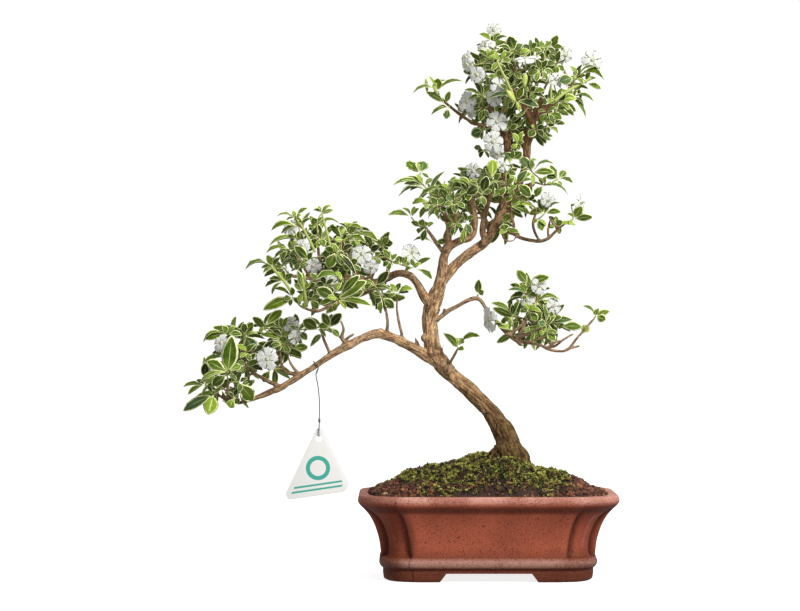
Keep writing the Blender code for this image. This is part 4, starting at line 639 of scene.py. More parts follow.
def label_finish(tint, ink):
    """White plastic with a plain ring and two ruled bars."""
    g = Finish("label")
    x, _, z = g.split(g.object)
    soft = g.noise(g.object, 240.0)
    fine = g.noise(g.object, 2400.0)
    ring = place(*LABEL_RING, TAG_DEPTH)
    away = (((x - ring.x) / MM) ** 2 + ((z - ring.z) / MM) ** 2) ** 0.5
    printed = (away - RING_RADIUS).size().rise(1.75, 1.55)
    inside = foot = None
    for start, _, normal in label_outline(0.0)[1]:
        inset = (x - start.x) * (normal.x / MM) + (z - start.y) * (normal.y / MM)
        inside = inset if inside is None else inside.least(inset)
        foot = inset if normal.y > 0.9 else foot
    for height in LABEL_RULES:
        printed = printed.most((foot - height).size().rise(0.85, 0.70) * inside.rise(4.2, 4.5))
    colour = g.mix(soft, shade(tint, 0.95), tint)
    colour = g.mix(printed * (0.88 + fine * 0.12), colour, ink)
    return g.done(colour, 0.34 + soft * 0.12, soft * 0.4 + fine * 0.2 + printed * 0.4, 0.0001, 0.4)


def thread_finish():
    """Grey thread of three twisted plies."""
    g = Finish("thread")
    around, along = g.across_and_along()
    twist = ((around + along * THREAD_TURNS) * (math.tau * THREAD_PLIES)).wave()
    fibre = g.noise(g.object, 5200.0)
    colour = g.mix(twist.rise(-1.0, 1.0), linear(34, 34, 36), linear(108, 106, 104))
    return g.done(g.over(colour, (fibre * 0.4, (70, 68, 66))), 0.75 + fibre * 0.15,
                  twist * 0.6 + fibre * 0.4, 0.0002, 0.8)


def plastic_finish(name, tint):
    g = Finish(name)
    fine = g.noise(g.object, 1500.0)
    return g.done(g.mix(fine, shade(tint, 0.8), shade(tint, 1.2)), 0.48 + fine * 0.2, fine, 0.0002, 0.4)


def wire_finish():
    g = Finish("wire")
    fine = g.noise(g.object, 1800.0)
    return g.done(g.mix(fine, linear(150, 150, 152), linear(196, 196, 198)), 0.3 + fine * 0.25, fine,
                  0.0001, 0.3, Metallic=1.0)


def studio_finish():
    """Pale floor that glows a little, as a light table does."""
    g = Finish("studio_floor")
    soft = g.noise(g.object, 3.0, 2.0)
    return g.done(g.mix(soft * 0.1, (0.62, 0.62, 0.62), (0.6, 0.6, 0.6)), 0.9 + soft * 0.05,
                  Emission_Color=(1.0, 1.0, 1.0, 1.0), Emission_Strength=0.80)


# ---------------------------------------------------------------- mesh helpers
def add_object(name, mesh, materials=(), smooth=True):
    made = bpy.data.objects.new(name, mesh)
    for material in materials:
        mesh.materials.append(material)
    if smooth:
        mesh.shade_smooth()
    bpy.context.scene.collection.objects.link(made)
    return made


def mesh_from(name, vertices, faces, edges=()):
    mesh = bpy.data.meshes.new(name)
    mesh.from_pydata([tuple(v) for v in vertices], edges, faces)
    return mesh


def put_attribute(mesh, name, values, kind="FLOAT", domain="POINT"):
    """Stores one number, or one vector, for each vertex or face."""
    made = mesh.attributes.new(name, kind, domain)
    made.data.foreach_set("vector" if kind == "FLOAT_VECTOR" else "value",
                          np.asarray(values, np.float32).ravel())


def put_uvs(mesh, uvs):
    layer = mesh.uv_layers.new(name="UVMap")
    for loop in mesh.loops:
        layer.data[loop.index].uv = uvs[loop.vertex_index]


def finished_mesh(made):
    """The object's shape as a plain mesh, with its modifiers worked in."""
    return bpy.data.meshes.new_from_object(made.evaluated_get(bpy.context.evaluated_depsgraph_get()))


def mesh_of(made, name):
    """The object's finished shape as a plain mesh; the object is removed."""
    mesh = finished_mesh(made)
    mesh.name = name
    bpy.data.objects.remove(made)
    return mesh


def reworked(mesh, work):
    """The mesh after the work on it, which is given a bmesh of it."""
    bm = bmesh.new()
    bm.from_mesh(mesh)
    work(bm)
    bm.to_mesh(mesh)
    bm.free()
    return mesh


def outward(mesh):
    return reworked(mesh, lambda bm: bmesh.ops.recalc_face_normals(bm, faces=bm.faces))


def settle(made, slot_name, *nodes):
    """Gives a finished piece to the frame's root body and hides the nodes that it stands for; slot_name is
    not used.
    """
    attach(made, ROOT)
    if nodes:
        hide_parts(*nodes)
    return made


def frames(points):
    """The way ahead and two unit vectors across it at each point of a route, without a twist."""
    last = len(points) - 1
    ahead = [(points[min(i + 1, last)] - points[max(i - 1, 0)]).normalized() for i in range(last + 1)]
    side = ahead[0].orthogonal().normalized()
    found = []
    for i, way in enumerate(ahead):
        if i:
            side = ahead[i - 1].rotation_difference(way) @ side
        side = (side - way * side.dot(way)).normalized()
        found.append((way, side, way.cross(side)))
    return found


def curve_through(points, spacing):
    """Even points on a smooth curve through the given ones; extra numbers are carried along."""
    last = len(points) - 1
    fine = []
    for i in range(last):
        before, start, end, after = (np.array(points[k]) for k in
                                     (max(i - 1, 0), i, i + 1, min(i + 2, last)))
        for t in np.linspace(0, 1, 16, endpoint=False):
            fine.append(0.5 * (2 * start + (end - before) * t
                               + (2 * before - 5 * start + 4 * end - after) * t * t
                               + (3 * start - before - 3 * end + after) * t ** 3))
    fine.append(np.array(points[last], float))
    fine = np.array(fine)
    lengths = np.concatenate([[0.0], np.cumsum(np.linalg.norm(np.diff(fine[:, :3], axis=0), axis=1))])
    count = max(2, int(lengths[-1] / spacing) + 1)
    even = np.linspace(0.0, lengths[-1], count)
    return np.stack([np.interp(even, lengths, fine[:, k]) for k in range(fine.shape[1])], axis=1)


def round_about(side, across, angle):
    """Unit vector at an angle in the plane of two others."""
    return side * math.cos(angle) + across * math.sin(angle)


def tube_rings(points, radii, sides):
    return [[point + round_about(side, across, math.tau * k / sides) * radius for k in range(sides)]
            for point, radius, (_, side, across) in zip(points, radii, frames(points))]


def ring_faces(count, levels):
    """Faces of a closed body through rings of equal count: its sides and its two ends."""
    faces = []
    for base in range(0, count * (levels - 1), count):
        for k in range(count):
            after = (k + 1) % count
            faces.append((base + k, base + after, base + count + after, base + count + k))
    return faces + [tuple(reversed(range(count))), tuple(range(count * (levels - 1), count * levels))]


def rings_mesh(name, rings):
    return mesh_from(name, [v for ring in rings for v in ring], ring_faces(len(rings[0]), len(rings)))


def tube_mesh(name, rows, sides):
    """Tube along rows of x, y, z and radius."""
    return rings_mesh(name, tube_rings([Vector(row[:3]) for row in rows], [row[3] for row in rows], sides))


def join_meshes(name, meshes):
    """One mesh of several, whose attributes and materials are kept."""
    objects = [add_object(name, mesh, smooth=False) for mesh in meshes]
    with bpy.context.temp_override(active_object=objects[0], object=objects[0],
                                   selected_objects=objects, selected_editable_objects=objects):
        bpy.ops.object.join()
    whole = objects[0].data
    bpy.data.objects.remove(objects[0])
    return whole


def nearest_of(points):
    """A search tree that finds the nearest of the points."""
    tree = KDTree(len(points))
    for i, point in enumerate(points):
        tree.insert(point, i)
    tree.balance()
    return tree


# ---------------------------------------------------------------- Geometry Nodes trees
def new_tree(name, inputs):
    """An empty Geometry Nodes tree with named inputs: {name: (kind of socket, default)}."""
    tree = bpy.data.node_groups.new(name, "GeometryNodeTree")
    tree.interface.new_socket("Geometry", in_out="OUTPUT", socket_type="NodeSocketGeometry")
    tree.interface.new_socket("Geometry", in_out="INPUT", socket_type="NodeSocketGeometry")
    for socket, (kind, default) in inputs.items():
        made = tree.interface.new_socket(socket, in_out="INPUT", socket_type="NodeSocket" + kind)
        if default is not None:
            made.default_value = default
    graph = Graph(tree)
    entry = graph.node("NodeGroupInput")
    given = {s.name: Value(graph, s) for s in entry.socket.node.outputs if s.name}
    return tree, graph, given


def geometry_node(graph, kind, settings=None, output=0, **inputs):
    """A geometry node whose inputs are given as words, with _ for a space."""
    return graph.node("GeometryNode" + kind, settings,
                      {name.replace("_", " "): value for name, value in inputs.items()}, output)


def named(graph, name, kind="FLOAT"):
    return geometry_node(graph, "InputNamedAttribute", {"data_type": kind}, Name=name)


def joined(graph, *parts):
    made = graph.tree.nodes.new("GeometryNodeJoinGeometry")
    for part in reversed(parts):
        graph.tree.links.new(part.socket, made.inputs[0])
    return Value(graph, made.outputs[0])


def placed(graph, points, shapes, which, turn, size, material):
    """Shapes of a collection as real mesh on the points, turned, sized and with their material."""
    shapes = geometry_node(graph, "CollectionInfo", Collection=shapes, Separate_Children=True,
                           Reset_Children=True)
    made = geometry_node(graph, "InstanceOnPoints", Points=points, Instance=shapes, Pick_Instance=True,
                         Instance_Index=which, Rotation=turn, Scale=size)
    made = geometry_node(graph, "RealizeInstances", Geometry=made)
    return geometry_node(graph, "SetMaterial", Geometry=made, Material=material)


def turned(graph, axes, first, second):
    return graph.node("FunctionNodeAxesToRotation", {"primary_axis": axes[0], "secondary_axis": axes[1]},
                      {"Primary Axis": first, "Secondary Axis": second})


def finish_tree(graph, geometry):
    made = graph.tree.nodes.new("NodeGroupOutput")
    graph.tree.links.new(geometry.socket, made.inputs[0])


def shoots_tree():
    """Leaves on points and twigs on edges: the points carry ahead, face, size and shape."""
    tree, g, given = new_tree("Shoots", {
        "Leaf shapes": ("Collection", None), "Leaf finish": ("Material", None),
        "Twig finish": ("Material", None), "Leaf size": ("Float", 1.0), "Twig sides": ("Int", 7)})
    points = geometry_node(g, "SeparateGeometry", {"domain": "POINT"}, Geometry=given["Geometry"],
                           Selection=named(g, "is_leaf"))
    turn = turned(g, "YZ", named(g, "ahead", "FLOAT_VECTOR"), named(g, "face", "FLOAT_VECTOR"))
    size = g.vector("SCALE", named(g, "size", "FLOAT_VECTOR"), given["Leaf size"])
    leaves = placed(g, points, given["Leaf shapes"], named(g, "shape", "INT"), turn, size,
                    given["Leaf finish"])
    line = geometry_node(g, "MeshToCurve", Mesh=points.beside(1))
    round_bar = geometry_node(g, "CurvePrimitiveCircle", Resolution=given["Twig sides"], Radius=1.0)
    twigs = geometry_node(g, "CurveToMesh", Curve=line, Profile_Curve=round_bar, Scale=named(g, "bar"),
                          Fill_Caps=True)
    twigs = geometry_node(g, "SetMaterial", Geometry=twigs, Material=given["Twig finish"])
    finish_tree(g, geometry_node(g, "SetShadeSmooth", Geometry=joined(g, leaves, twigs)))
    return tree


RANDOM_SOCKETS = {  # the node's inputs for the least and the most, and its output, by kind
    "FLOAT": (2, 3, 1), "INT": (4, 5, 2), "FLOAT_VECTOR": (0, 1, 0)}


def scatter_tree():
    """Shapes strewn over a surface: crumbs on soil, or tufts of moss on its cushion."""
    tree, g, given = new_tree("Scatter", {
        "Shapes": ("Collection", None), "Finish": ("Material", None), "Spacing": ("Float", 0.003),
        "Density": ("Float", 100000.0), "Smallest": ("Float", 0.001), "Largest": ("Float", 0.002),
        "Lean": ("Float", 0.4), "Seed": ("Int", 1)})

    def drawn(low, high, seed, kind="FLOAT"):
        least, most, output = RANDOM_SOCKETS[kind]
        return g.node("FunctionNodeRandomValue", {"data_type": kind},
                      {least: low, most: high, "Seed": seed}, output)

    spots = geometry_node(g, "DistributePointsOnFaces", {"distribute_method": "POISSON"},
                          Mesh=given["Geometry"], Distance_Min=given["Spacing"],
                          Density_Max=given["Density"], Density_Factor=named(g, "cover"),
                          Seed=given["Seed"])
    points = geometry_node(g, "StoreNamedAttribute", {"data_type": "FLOAT", "domain": "POINT"},
                           Geometry=spots, Name="tone", Value=drawn(0.0, 1.0, 5))
    lean = g.vector("SCALE", drawn((-1, -1, -1), (1, 1, 1), 7, "FLOAT_VECTOR"), given["Lean"])
    turn = turned(g, "ZX", g.vector("ADD", spots.beside(1), lean),
                  drawn((-1, -1, -0.1), (1, 1, 0.1), 9, "FLOAT_VECTOR"))
    shapes = placed(g, points, given["Shapes"], drawn(0, SHAPES_STREWN - 1, 11, "INT"), turn,
                    drawn(given["Smallest"], given["Largest"], 13), given["Finish"])
    finish_tree(g, joined(g, given["Geometry"], shapes))
    return tree


def grow(name, mesh, tree, inputs):
    """The mesh after the tree has worked on it, with its named inputs set."""
    made = add_object(name, mesh, smooth=False)
    modifier = made.modifiers.new(tree.name, "NODES")
    modifier.node_group = tree
    for item in tree.interface.items_tree:
        if item.in_out == "INPUT" and item.name in inputs:
            modifier[item.identifier] = inputs[item.name]
    return mesh_of(made, name)


def shape_store(name, meshes):
    """A collection of the shapes that a tree picks from; it's removed once the tree has run."""
    store = bpy.data.collections.new(name)
    for number, mesh in enumerate(meshes):
        store.objects.link(bpy.data.objects.new("%s_%d" % (name, number), mesh))
    return store


def drop_store(store):
    for made in list(store.objects):
        bpy.data.objects.remove(made)
    bpy.data.collections.remove(store)


# ---------------------------------------------------------------- wood
WOOD_SWELL = 0.12 * MM
WOOD_VOXEL = 0.75 * MM
BARK_UNIT = 1.45 * MM
THICK_WOOD = 5.0 * MM
FISSURED_WOOD = 6.0 * MM
SMOOTH_WOOD = 1.2 * MM
ROUGHENING = 3.5 * MM
FISSURE_WIDTH = 0.24
KNOTS = [  # column, row, depth in mm, radius in mm
    (425, 338, -4, 3.4), (447, 371, -4, 4.2), (437, 352, -5, 3.6), (380, 332, -7, 3.4),
    (447, 250, -8, 3.2), (437, 297, -4, 3.6), (484, 243, 3, 3.4), (530, 134, -4, 2.8),
    (506, 139, 4, 2.6), (349, 345, -10, 2.9), (281, 387, -17, 2.3), (411, 276, -1, 2.9),
    (500, 428, -5, 5.0), (509, 452, -8, 7.4), (471, 393, -1, 4.6), (446, 369, -6, 3.0),
    (503, 447, -8, 5.4), (519, 454, -7, 5.4), (486, 410, -3, 4.2), (433, 352, -4, 4.0),
    (497, 449, -6, 3.4), (493.5, 452, -8, 2.8)]
ROOT_START = (515, 456, 0, 8.0)  # column, row, depth in mm, radius in mm: all roots start here
ROOTS = [  # the same of each tip
    (491, 478, -8, 3.2), (500, 480, -20, 3.0), (535, 482, -14, 2.6), (532, 484, 10, 2.6),
    (520, 484, -24, 3.0), (505, 480, 20, 3.4), (526, 482, 22, 3.0)]
BARE_TWIGS = [  # dead twigs and snags from the wood outwards, as the branches are written
    "516 340 -17 1.2, 522 330 -22 1.1, 527 318 -26 0.9",
    "520 341 -17 1.1, 532 341 -22 1, 546 336 -26 0.8",
    "517 340 -17 1.2, 520 343 -19 1.1, 523 346 -20 0.9",
    "545 349 -19 1.2, 554 343 -22 1, 562 340 -24 0.8",
    "566 350 -20 1.1, 573 347.5 -21 1, 580 346 -22 0.8",
    "444 314 -4 1.4, 444.5 309 -6 1", "441 354 -2 1.5, 444 344 -5 0.9",
    "420 352 -2 2, 417 343 -5 1.3, 415 337 -6 0.7",
    "297 372 -14 1.2, 291 364 -17 1, 287.5 355 -18 0.8",
    "345 341 -10 1.2, 349 337 -14 1, 354 334 -16 0.8",
    "501 227 4 1.3, 503 236 -1 1.1, 507 241 -3 1, 514 240 -4 1, 516 235 -5 0.8",
    "513 233 -1 1.3, 514 225 -5 1.1, 511 215 -8 1, 512 208 -10 0.8",
    "549 239 -10 1.2, 548 230 -13 1, 551 217 -16 0.8",
    "560 228 -13 1.1, 553 224 -17 0.9, 551 219 -18 0.8",
    "525 187 9 1.5, 527 195 2 1.1, 523 203 -3 0.9"]


def route(text, spacing):
    """Fine centre line through points of the drawing, as rows of x, y, z and radius."""
    return curve_through([(*place(*row[:3]), row[3] * MM) for row in rows_of(text)], spacing)


def bark_relief(point, way, side, across, origin, along, radius):
    """Height of the bark over the wood, in metres, how deep a fissure it is, from 0 to 1, and the
    place on the bark that its grain is drawn from."""
    spoke = point - origin
    spoke -= way * spoke.dot(way)
    angle = math.atan2(spoke.dot(across), spoke.dot(side))
    reach = radius / MM
    u, v = math.cos(angle) * reach, math.sin(angle) * reach
    where = Vector((u * 0.42, v * 0.42, along * 62))
    swell = noise.noise(Vector((u * 0.13, v * 0.13, along * 55)) + Vector((7, 3, 1)))
    ridge = noise.noise(where + Vector((1.3, 5.1, 0)))
    crack = max(0.0, FISSURE_WIDTH - abs(ridge)) / FISSURE_WIDTH
    share = min(1.0, radius / FISSURED_WOOD)
    height = (swell * 1.25 + noise.noise(where * 2.3) * 0.42 - crack ** 1.5 * 0.85) * share + 0.1
    return height * BARK_UNIT, crack * share, (u * MM, v * MM, along)


def root_mesh(column, row, depth, radius):
    base, tip = place(*ROOT_START[:3]), place(column, row, depth)
    beyond = tip + (tip - base) * 0.3 - Vector((0, 0, 0.006))
    return tube_mesh("root", curve_through([
        (*base, ROOT_START[3] * MM), (*base.lerp(tip, 0.55), radius * 1.5 * MM),
        (*tip, radius * MM), (*beyond, radius * 0.5 * MM)], 0.002), 16)


def knot_mesh(column, row, depth, radius):
    return reworked(bpy.data.meshes.new("knot"), lambda bm: bmesh.ops.create_icosphere(
        bm, subdivisions=3, radius=radius * MM, matrix=Matrix.Translation(place(column, row, depth))))


def make_wood(relief, finish):
    routes = {name: route(text, 0.0012) for name, text in BRANCHES.items()}
    meshes = []
    for name, rows in routes.items():
        points = [Vector(row[:3]) for row in rows]
        radii = [row[3] + WOOD_SWELL for row in rows]
        rings = tube_rings(points, radii, 28 if rows[0][3] > THICK_WOOD else 14)
        tip = points[-1] + (points[-1] - points[-2]).normalized() * radii[-1] * 0.7
        rings.append([tip + (v - points[-1]) * 0.45 for v in rings[-1]])
        meshes.append(rings_mesh(name, rings))
    meshes += [root_mesh(*row) for row in ROOTS]
    meshes += [tube_mesh("twig", route(text, 0.0015), 10) for text in BARE_TWIGS]
    meshes += [knot_mesh(*row) for row in KNOTS]
    whole = add_object("wood_body", join_meshes("wood_body", meshes))
    remesh = whole.modifiers.new("remesh", "REMESH")
    remesh.mode = "VOXEL"
    remesh.voxel_size = WOOD_VOXEL
    smooth = whole.modifiers.new("smooth", "SMOOTH")
    smooth.iterations = 4
    smooth.factor = 0.5
    mesh = mesh_of(whole, "bark")

    samples = []
    for rows in routes.values():
        points = [Vector(row[:3]) for row in rows]
        travelled = 0.0
        for i, (point, axes) in enumerate(zip(points, frames(points))):
            if i:
                travelled += (point - points[i - 1]).length
            samples.append((point, *axes, travelled, rows[i][3]))
    tree = nearest_of([sample[0] for sample in samples])
    pits, grains, thick = [], [], []
    for vertex, normal in zip(mesh.vertices, [v.normal.copy() for v in mesh.vertices]):
        near = min(tree.find_n(vertex.co, 6), key=lambda hit: hit[2] - samples[hit[1]][5])
        origin, way, side, across, travelled, radius = samples[near[1]]
        lift, pit, grain = bark_relief(vertex.co, way, side, across, origin, travelled, radius)
        vertex.co += normal * (lift * relief)
        pits.append(pit)
        grains.append(grain)
        thick.append(min(1.0, max(0.0, (radius - SMOOTH_WOOD) / ROUGHENING)))
    put_attribute(mesh, "pit", pits)
    put_attribute(mesh, "thick", thick)
    put_attribute(mesh, "grain", grains, "FLOAT_VECTOR")
    mesh.materials.clear()
    return settle(add_object("bark", mesh, [finish]), "bark", "trunk_and_branches")


# ---------------------------------------------------------------- leaves
LEAF_SHAPES = 8
LEAF_STATIONS = (0.0, 0.06, 0.2, 0.38, 0.58, 0.77, 0.925, 1.0)
LEAF_ACROSS = (-1.0, -0.55, 0.0, 0.55, 1.0)
LEAF_HALF_THICKNESS = 0.05
AGES = {"d": (0.15, 0.0, 0.0), "g": (0.54, 0.06, 0.0), "y": (1.0, 0.85, 0.0), "s": (0.4, 0.0, 0.9)}
TWIG_STEP = 3.0 * MM
TWIG_RADIUS = 0.6 * MM
WIDEST_TWIG = 1.1 * MM
GROWING_WOOD = 2.6 * MM
FACING = Vector((0, -1, 0))
# Whorls at the back: leaves in each tier, lean off the way out, leaf length and step along it, mm
WHORL = ((2, 1.35, 17.5, -7), (2, 1.15, 18.5, -3.5), (2, 0.85, 17, 0), (2, 0.5, 12, 1))
# Clouds of leaves: the words that their sprays start with, how many layers of whorls stand behind
# a rosette, the radius in metres in which they do, and how far back they reach in mm
CLOUDS = {
    "crown": (("crown",), 2.4, 0.055, 34), "middle": (("middle", "curling"), 1.3, 0.055, 40),
    "upper": (("upper", "upright"), 1.6, 0.060, 40), "lower": (("lower",), 0.9, 0.070, 24),
    "right": (("right",), 1.4, 0.036, 22)}
GREEN_STEMS = [  # column, row and depth in mm of the foot and of the top, radius in mm, and the spray
    (515, 101, -42, 497, 61, -36, 1.25, "spray_crown_left"),
    (551, 101, -36, 551, 84, -38, 1.0, "spray_crown_right"),
    (555, 101, -36, 591, 78, -26, 1.25, "spray_crown_right"),
    (290, 290, -34, 271, 266, -36, 1.25, "spray_upper_outer"),
    (307, 307, -36, 302, 277, -40, 1.2, "spray_upper_front"),
    (315, 252, -30, 300, 223, -24, 1.1, "spray_upper_rise"),
    (331, 250, -26, 322, 214, -20, 1.0, "spray_upper_rise")]


def leaf_breadth(share, fullest):
    if share <= 0.0 or share >= 1.0:
        return 0.0
    bent = share ** (math.log(0.5) / math.log(fullest))
    return max(0.14 if share < 0.1 else 0.0, math.sin(math.pi * bent) ** (0.9 if share < 0.5 else 0.62))


def leaf_shape(name, fullest, fold, wave, twist):
    """Leaf of length 1 along Y and half width 1 along X, closed like a lens, that arches up to 1
    along Z: its edge attribute is the distance from the rim."""
    vertices, uvs, edges = [], [], []

    def add(share, across, level):
        breadth = leaf_breadth(share, fullest)
        x = across * breadth
        ripple = wave * math.sin(share * 17 + (across > 0) * 1.7) * abs(across) ** 2
        lift = level * LEAF_HALF_THICKNESS * (1 - across * across)
        z = 4 * share * (1 - share) + fold * abs(across) * breadth + ripple + lift
        vertices.append((x, share, z + twist * (share - 0.4) * x))
        uvs.append((across * 0.5 + 0.5, share))
        edges.append((1 - abs(across)) * breadth)
        return len(vertices) - 1

    lines = [lens_line(lambda across, level: add(share, across, level), LEAF_ACROSS)
             for share in LEAF_STATIONS[1:-1]]
    base, tip = add(0.0, 0.0, 0), add(1.0, 0.0, 0)
    faces = []
    for (upper, lower), (next_upper, next_lower) in zip(lines, lines[1:]):
        for k in range(4):
            faces.append((upper[k], upper[k + 1], next_upper[k + 1], next_upper[k]))
            faces.append((lower[k + 1], lower[k], next_lower[k], next_lower[k + 1]))
    (first_upper, first_lower), (last_upper, last_lower) = lines[0], lines[-1]
    for k in range(4):
        faces += [(base, first_upper[k + 1], first_upper[k]), (base, first_lower[k], first_lower[k + 1]),
                  (tip, last_upper[k], last_upper[k + 1]), (tip, last_lower[k + 1], last_lower[k])]
    mesh = mesh_from(name, vertices, faces)
    put_uvs(mesh, uvs)
    put_attribute(mesh, "edge", edges)
    put_attribute(mesh, "under", [0.0, 1.0] * (len(faces) // 2), domain="FACE")
    return mesh


def lens_line(add, stations):
    """Vertices of the upper and the lower side across a thin lens, which share the two rims."""
    upper = [add(across, 1) for across in stations]
    return upper, [upper[0], *(add(across, -1) for across in stations[1:-1]), upper[-1]]


class Shoots:
    """Twigs and leaves of one spray, gathered as edges and points for the shoots tree."""

    def __init__(self):
        self.points = []
        self.edges = []
        self.rows = []
        self.grown = []

    def add_point(self, where, is_leaf, radius=0.0, green=0.0, ahead=(0, 1, 0), face=(0, 0, 1),
                  size=(1, 1, 1), shape=0, age=(0, 0, 0)):
        self.points.append(where)
        self.rows.append((is_leaf, radius, green, tuple(ahead), tuple(face), tuple(size), shape, age))
        return len(self.points) - 1

    def add_twig(self, start, leaving, end, arriving, radius, end_radius, foot_green=-0.2):
        """A bent twig from start to end, which turns greener on the way."""
        reach = (end - start).length
        steps = max(3, int(reach / TWIG_STEP))
        a, b = start + leaving * reach * 0.35, end - arriving * reach * 0.35
        before = None
        for k in range(steps + 1):
            t = k / steps
            where = (start * (1 - t) ** 3 + a * 3 * t * (1 - t) ** 2 + b * 3 * t * t * (1 - t)
                     + end * t ** 3)
            here = self.add_point(where, False, radius + (end_radius - radius) * t,
                                  min(1.0, t * 1.3 + foot_green))
            if before is not None:
                self.edges.append((before, here))
            before = here

    def add_leaf(self, base, tip, face, width, arch, rng, age):
        length = (tip - base).length
        tone, youth, silver = AGES[age]
        age = (min(1.0, max(0.0, tone + rng.uniform(-0.34, 0.40))),
               min(1.0, max(0.0, youth + rng.uniform(-0.12, 0.30))), silver * rng.uniform(0.7, 1.0))
        self.add_point(base, True, ahead=(tip - base), face=face,
                       size=(width / 2, length, arch * length), shape=rng.randrange(LEAF_SHAPES),
                       age=age)

    def mesh(self, name):
        mesh = mesh_from(name, self.points, [], self.edges)
        flags, bars, greens, aheads, faces, sizes, shapes, ages = zip(*self.rows)
        for attribute, kind, values in (("is_leaf", "BOOLEAN", flags), ("shape", "INT", shapes)):
            mesh.attributes.new(attribute, kind, "POINT").data.foreach_set("value", values)
        put_attribute(mesh, "bar", bars)
        put_attribute(mesh, "green", greens)
        for attribute, values in (("ahead", aheads), ("face", faces), ("size", sizes)):
            put_attribute(mesh, attribute, values, "FLOAT_VECTOR")
        for attribute, values in zip(("tone", "youth", "silver"), zip(*ages)):
            put_attribute(mesh, attribute, values)
        return mesh


class Canopy:
    """Grows every spray's rosettes out from the wood, and fills in the far side of each cloud."""

    def __init__(self, seed):
        self.rng = random.Random(seed)
        self.ends = []
        for text in BRANCHES.values():
            rows = route(text, 0.002)
            last = len(rows) - 1
            for i, row in enumerate(rows):
                if row[3] < GROWING_WOOD or i > last - 2:
                    ahead = Vector(rows[min(i + 1, last)][:3]) - Vector(rows[max(i - 1, 0)][:3])
                    self.ends.append((Vector(row[:3]), ahead.normalized(), row[3]))

    def carrier(self, where, grown):
        """The place on the wood, or on a twig that's already grown, that a rosette grows from."""
        best = None
        for point, ahead, radius in (*self.ends, *grown):
            away = where - point
            distance = away.length
            if distance < 1e-5:
                continue
            cost = distance * (1.35 - 0.35 * ahead.dot(away) / distance)
            if point.z > where.z + 0.012:
                cost += point.z - where.z
            if best is None or cost < best[0]:
                best = (cost, point, ahead, radius)
        return best[1:]

    def reach(self, shoots, centre):
        """Grows a twig to the centre of a rosette, and returns the way that it arrives."""
        point, ahead, radius = self.carrier(centre, shoots.grown)
        arriving = (centre - point).normalized()
        start_radius = min(max(radius * 0.8, TWIG_RADIUS), WIDEST_TWIG)
        shoots.add_twig(point, ahead, centre, arriving, start_radius, TWIG_RADIUS)
        shoots.grown.append((centre, arriving, TWIG_RADIUS))
        return arriving

    def front_rosette(self, shoots, centre, leaves):
        rng = self.rng
        arriving = self.reach(shoots, centre)
        for column, row, width, roll, age in leaves:
            tip = place(column, row, centre.y / MM + rng.uniform(-5, 5) - 1.5)
            chord = tip - centre
            ahead = chord.normalized()
            base = centre + ahead * min(0.0012, chord.length * 0.1) + arriving * rng.uniform(-0.001, 0.001)
            upright = Vector((-ahead.z, 0, ahead.x))
            if upright.z < 0:
                upright = -upright
            angle = roll * math.radians(10) + rng.uniform(-0.1, 0.1)
            arch = 0.05 + 0.035 * roll + rng.uniform(-0.02, 0.04)
            shoots.add_leaf(base, tip, round_about(FACING, upright, angle),
                            width * SQUARE / max(0.5, math.cos(angle * 0.75)), arch, rng, age)

    def back_rosette(self, shoots, centre, out):
        """A whorl of leaves round the way out of the cloud."""
        rng = self.rng
        way = (out + self.reach(shoots, centre) * 0.6 + Vector((0, 0, 0.35))).normalized()
        side = way.orthogonal().normalized()
        across = way.cross(side)
        start = rng.uniform(0, math.tau)
        for tier, (count, lean, length, step) in enumerate(WHORL):
            for k in range(count):
                angle = start + tier * math.pi / 2 + k * math.pi + rng.uniform(-0.25, 0.25)
                spoke = round_about(side, across, angle)
                ahead = round_about(way, spoke, lean + rng.uniform(-0.2, 0.2)).normalized()
                grown_length = length * MM * rng.uniform(0.8, 1.15)
                base = centre + way * (step * MM)
                tip = base + ahead * grown_length - Vector((0, 0, 0.002 * rng.random()))
                face = way - ahead * way.dot(ahead)
                youngest = tier == len(WHORL) - 1
                age = "y" if youngest and rng.random() < 0.8 else rng.choice("ddggggs")
                shoots.add_leaf(base, tip, face, grown_length * rng.uniform(0.25, 0.36),
                                rng.uniform(0.06, 0.22), rng, age)

    def fill_behind(self, shoots, spot, middle, layers, core, reach):
        """Whorls behind one rosette at spot, more of them where it's near the cloud's middle."""
        rng = self.rng
        inside = 1.0 - min(1.0, (spot - middle).xz.length / core) ** 2
        for layer in range(int(layers * inside + rng.random())):
            shrink = rng.uniform(0.55, 0.85) if layer else rng.uniform(0.82, 0.96)
            centre = middle + (spot - middle) * shrink
            centre += Vector((rng.uniform(-1, 1), 0, rng.uniform(-1, 1))) * 0.003
            share = 1.0 - min(1.0, ((spot - middle).xz.length / 0.075) ** 2) * 0.6
            far = rng.uniform(0.45, 1.0) if layer == 0 else rng.uniform(-0.1, 0.5)
            centre.y = middle.y * 0.5 + 0.004 + reach * MM * share * far
            out = Vector((centre.x - middle.x, (centre.y - middle.y) * 1.2, centre.z - middle.z))
            self.back_rosette(shoots, centre, out.normalized())


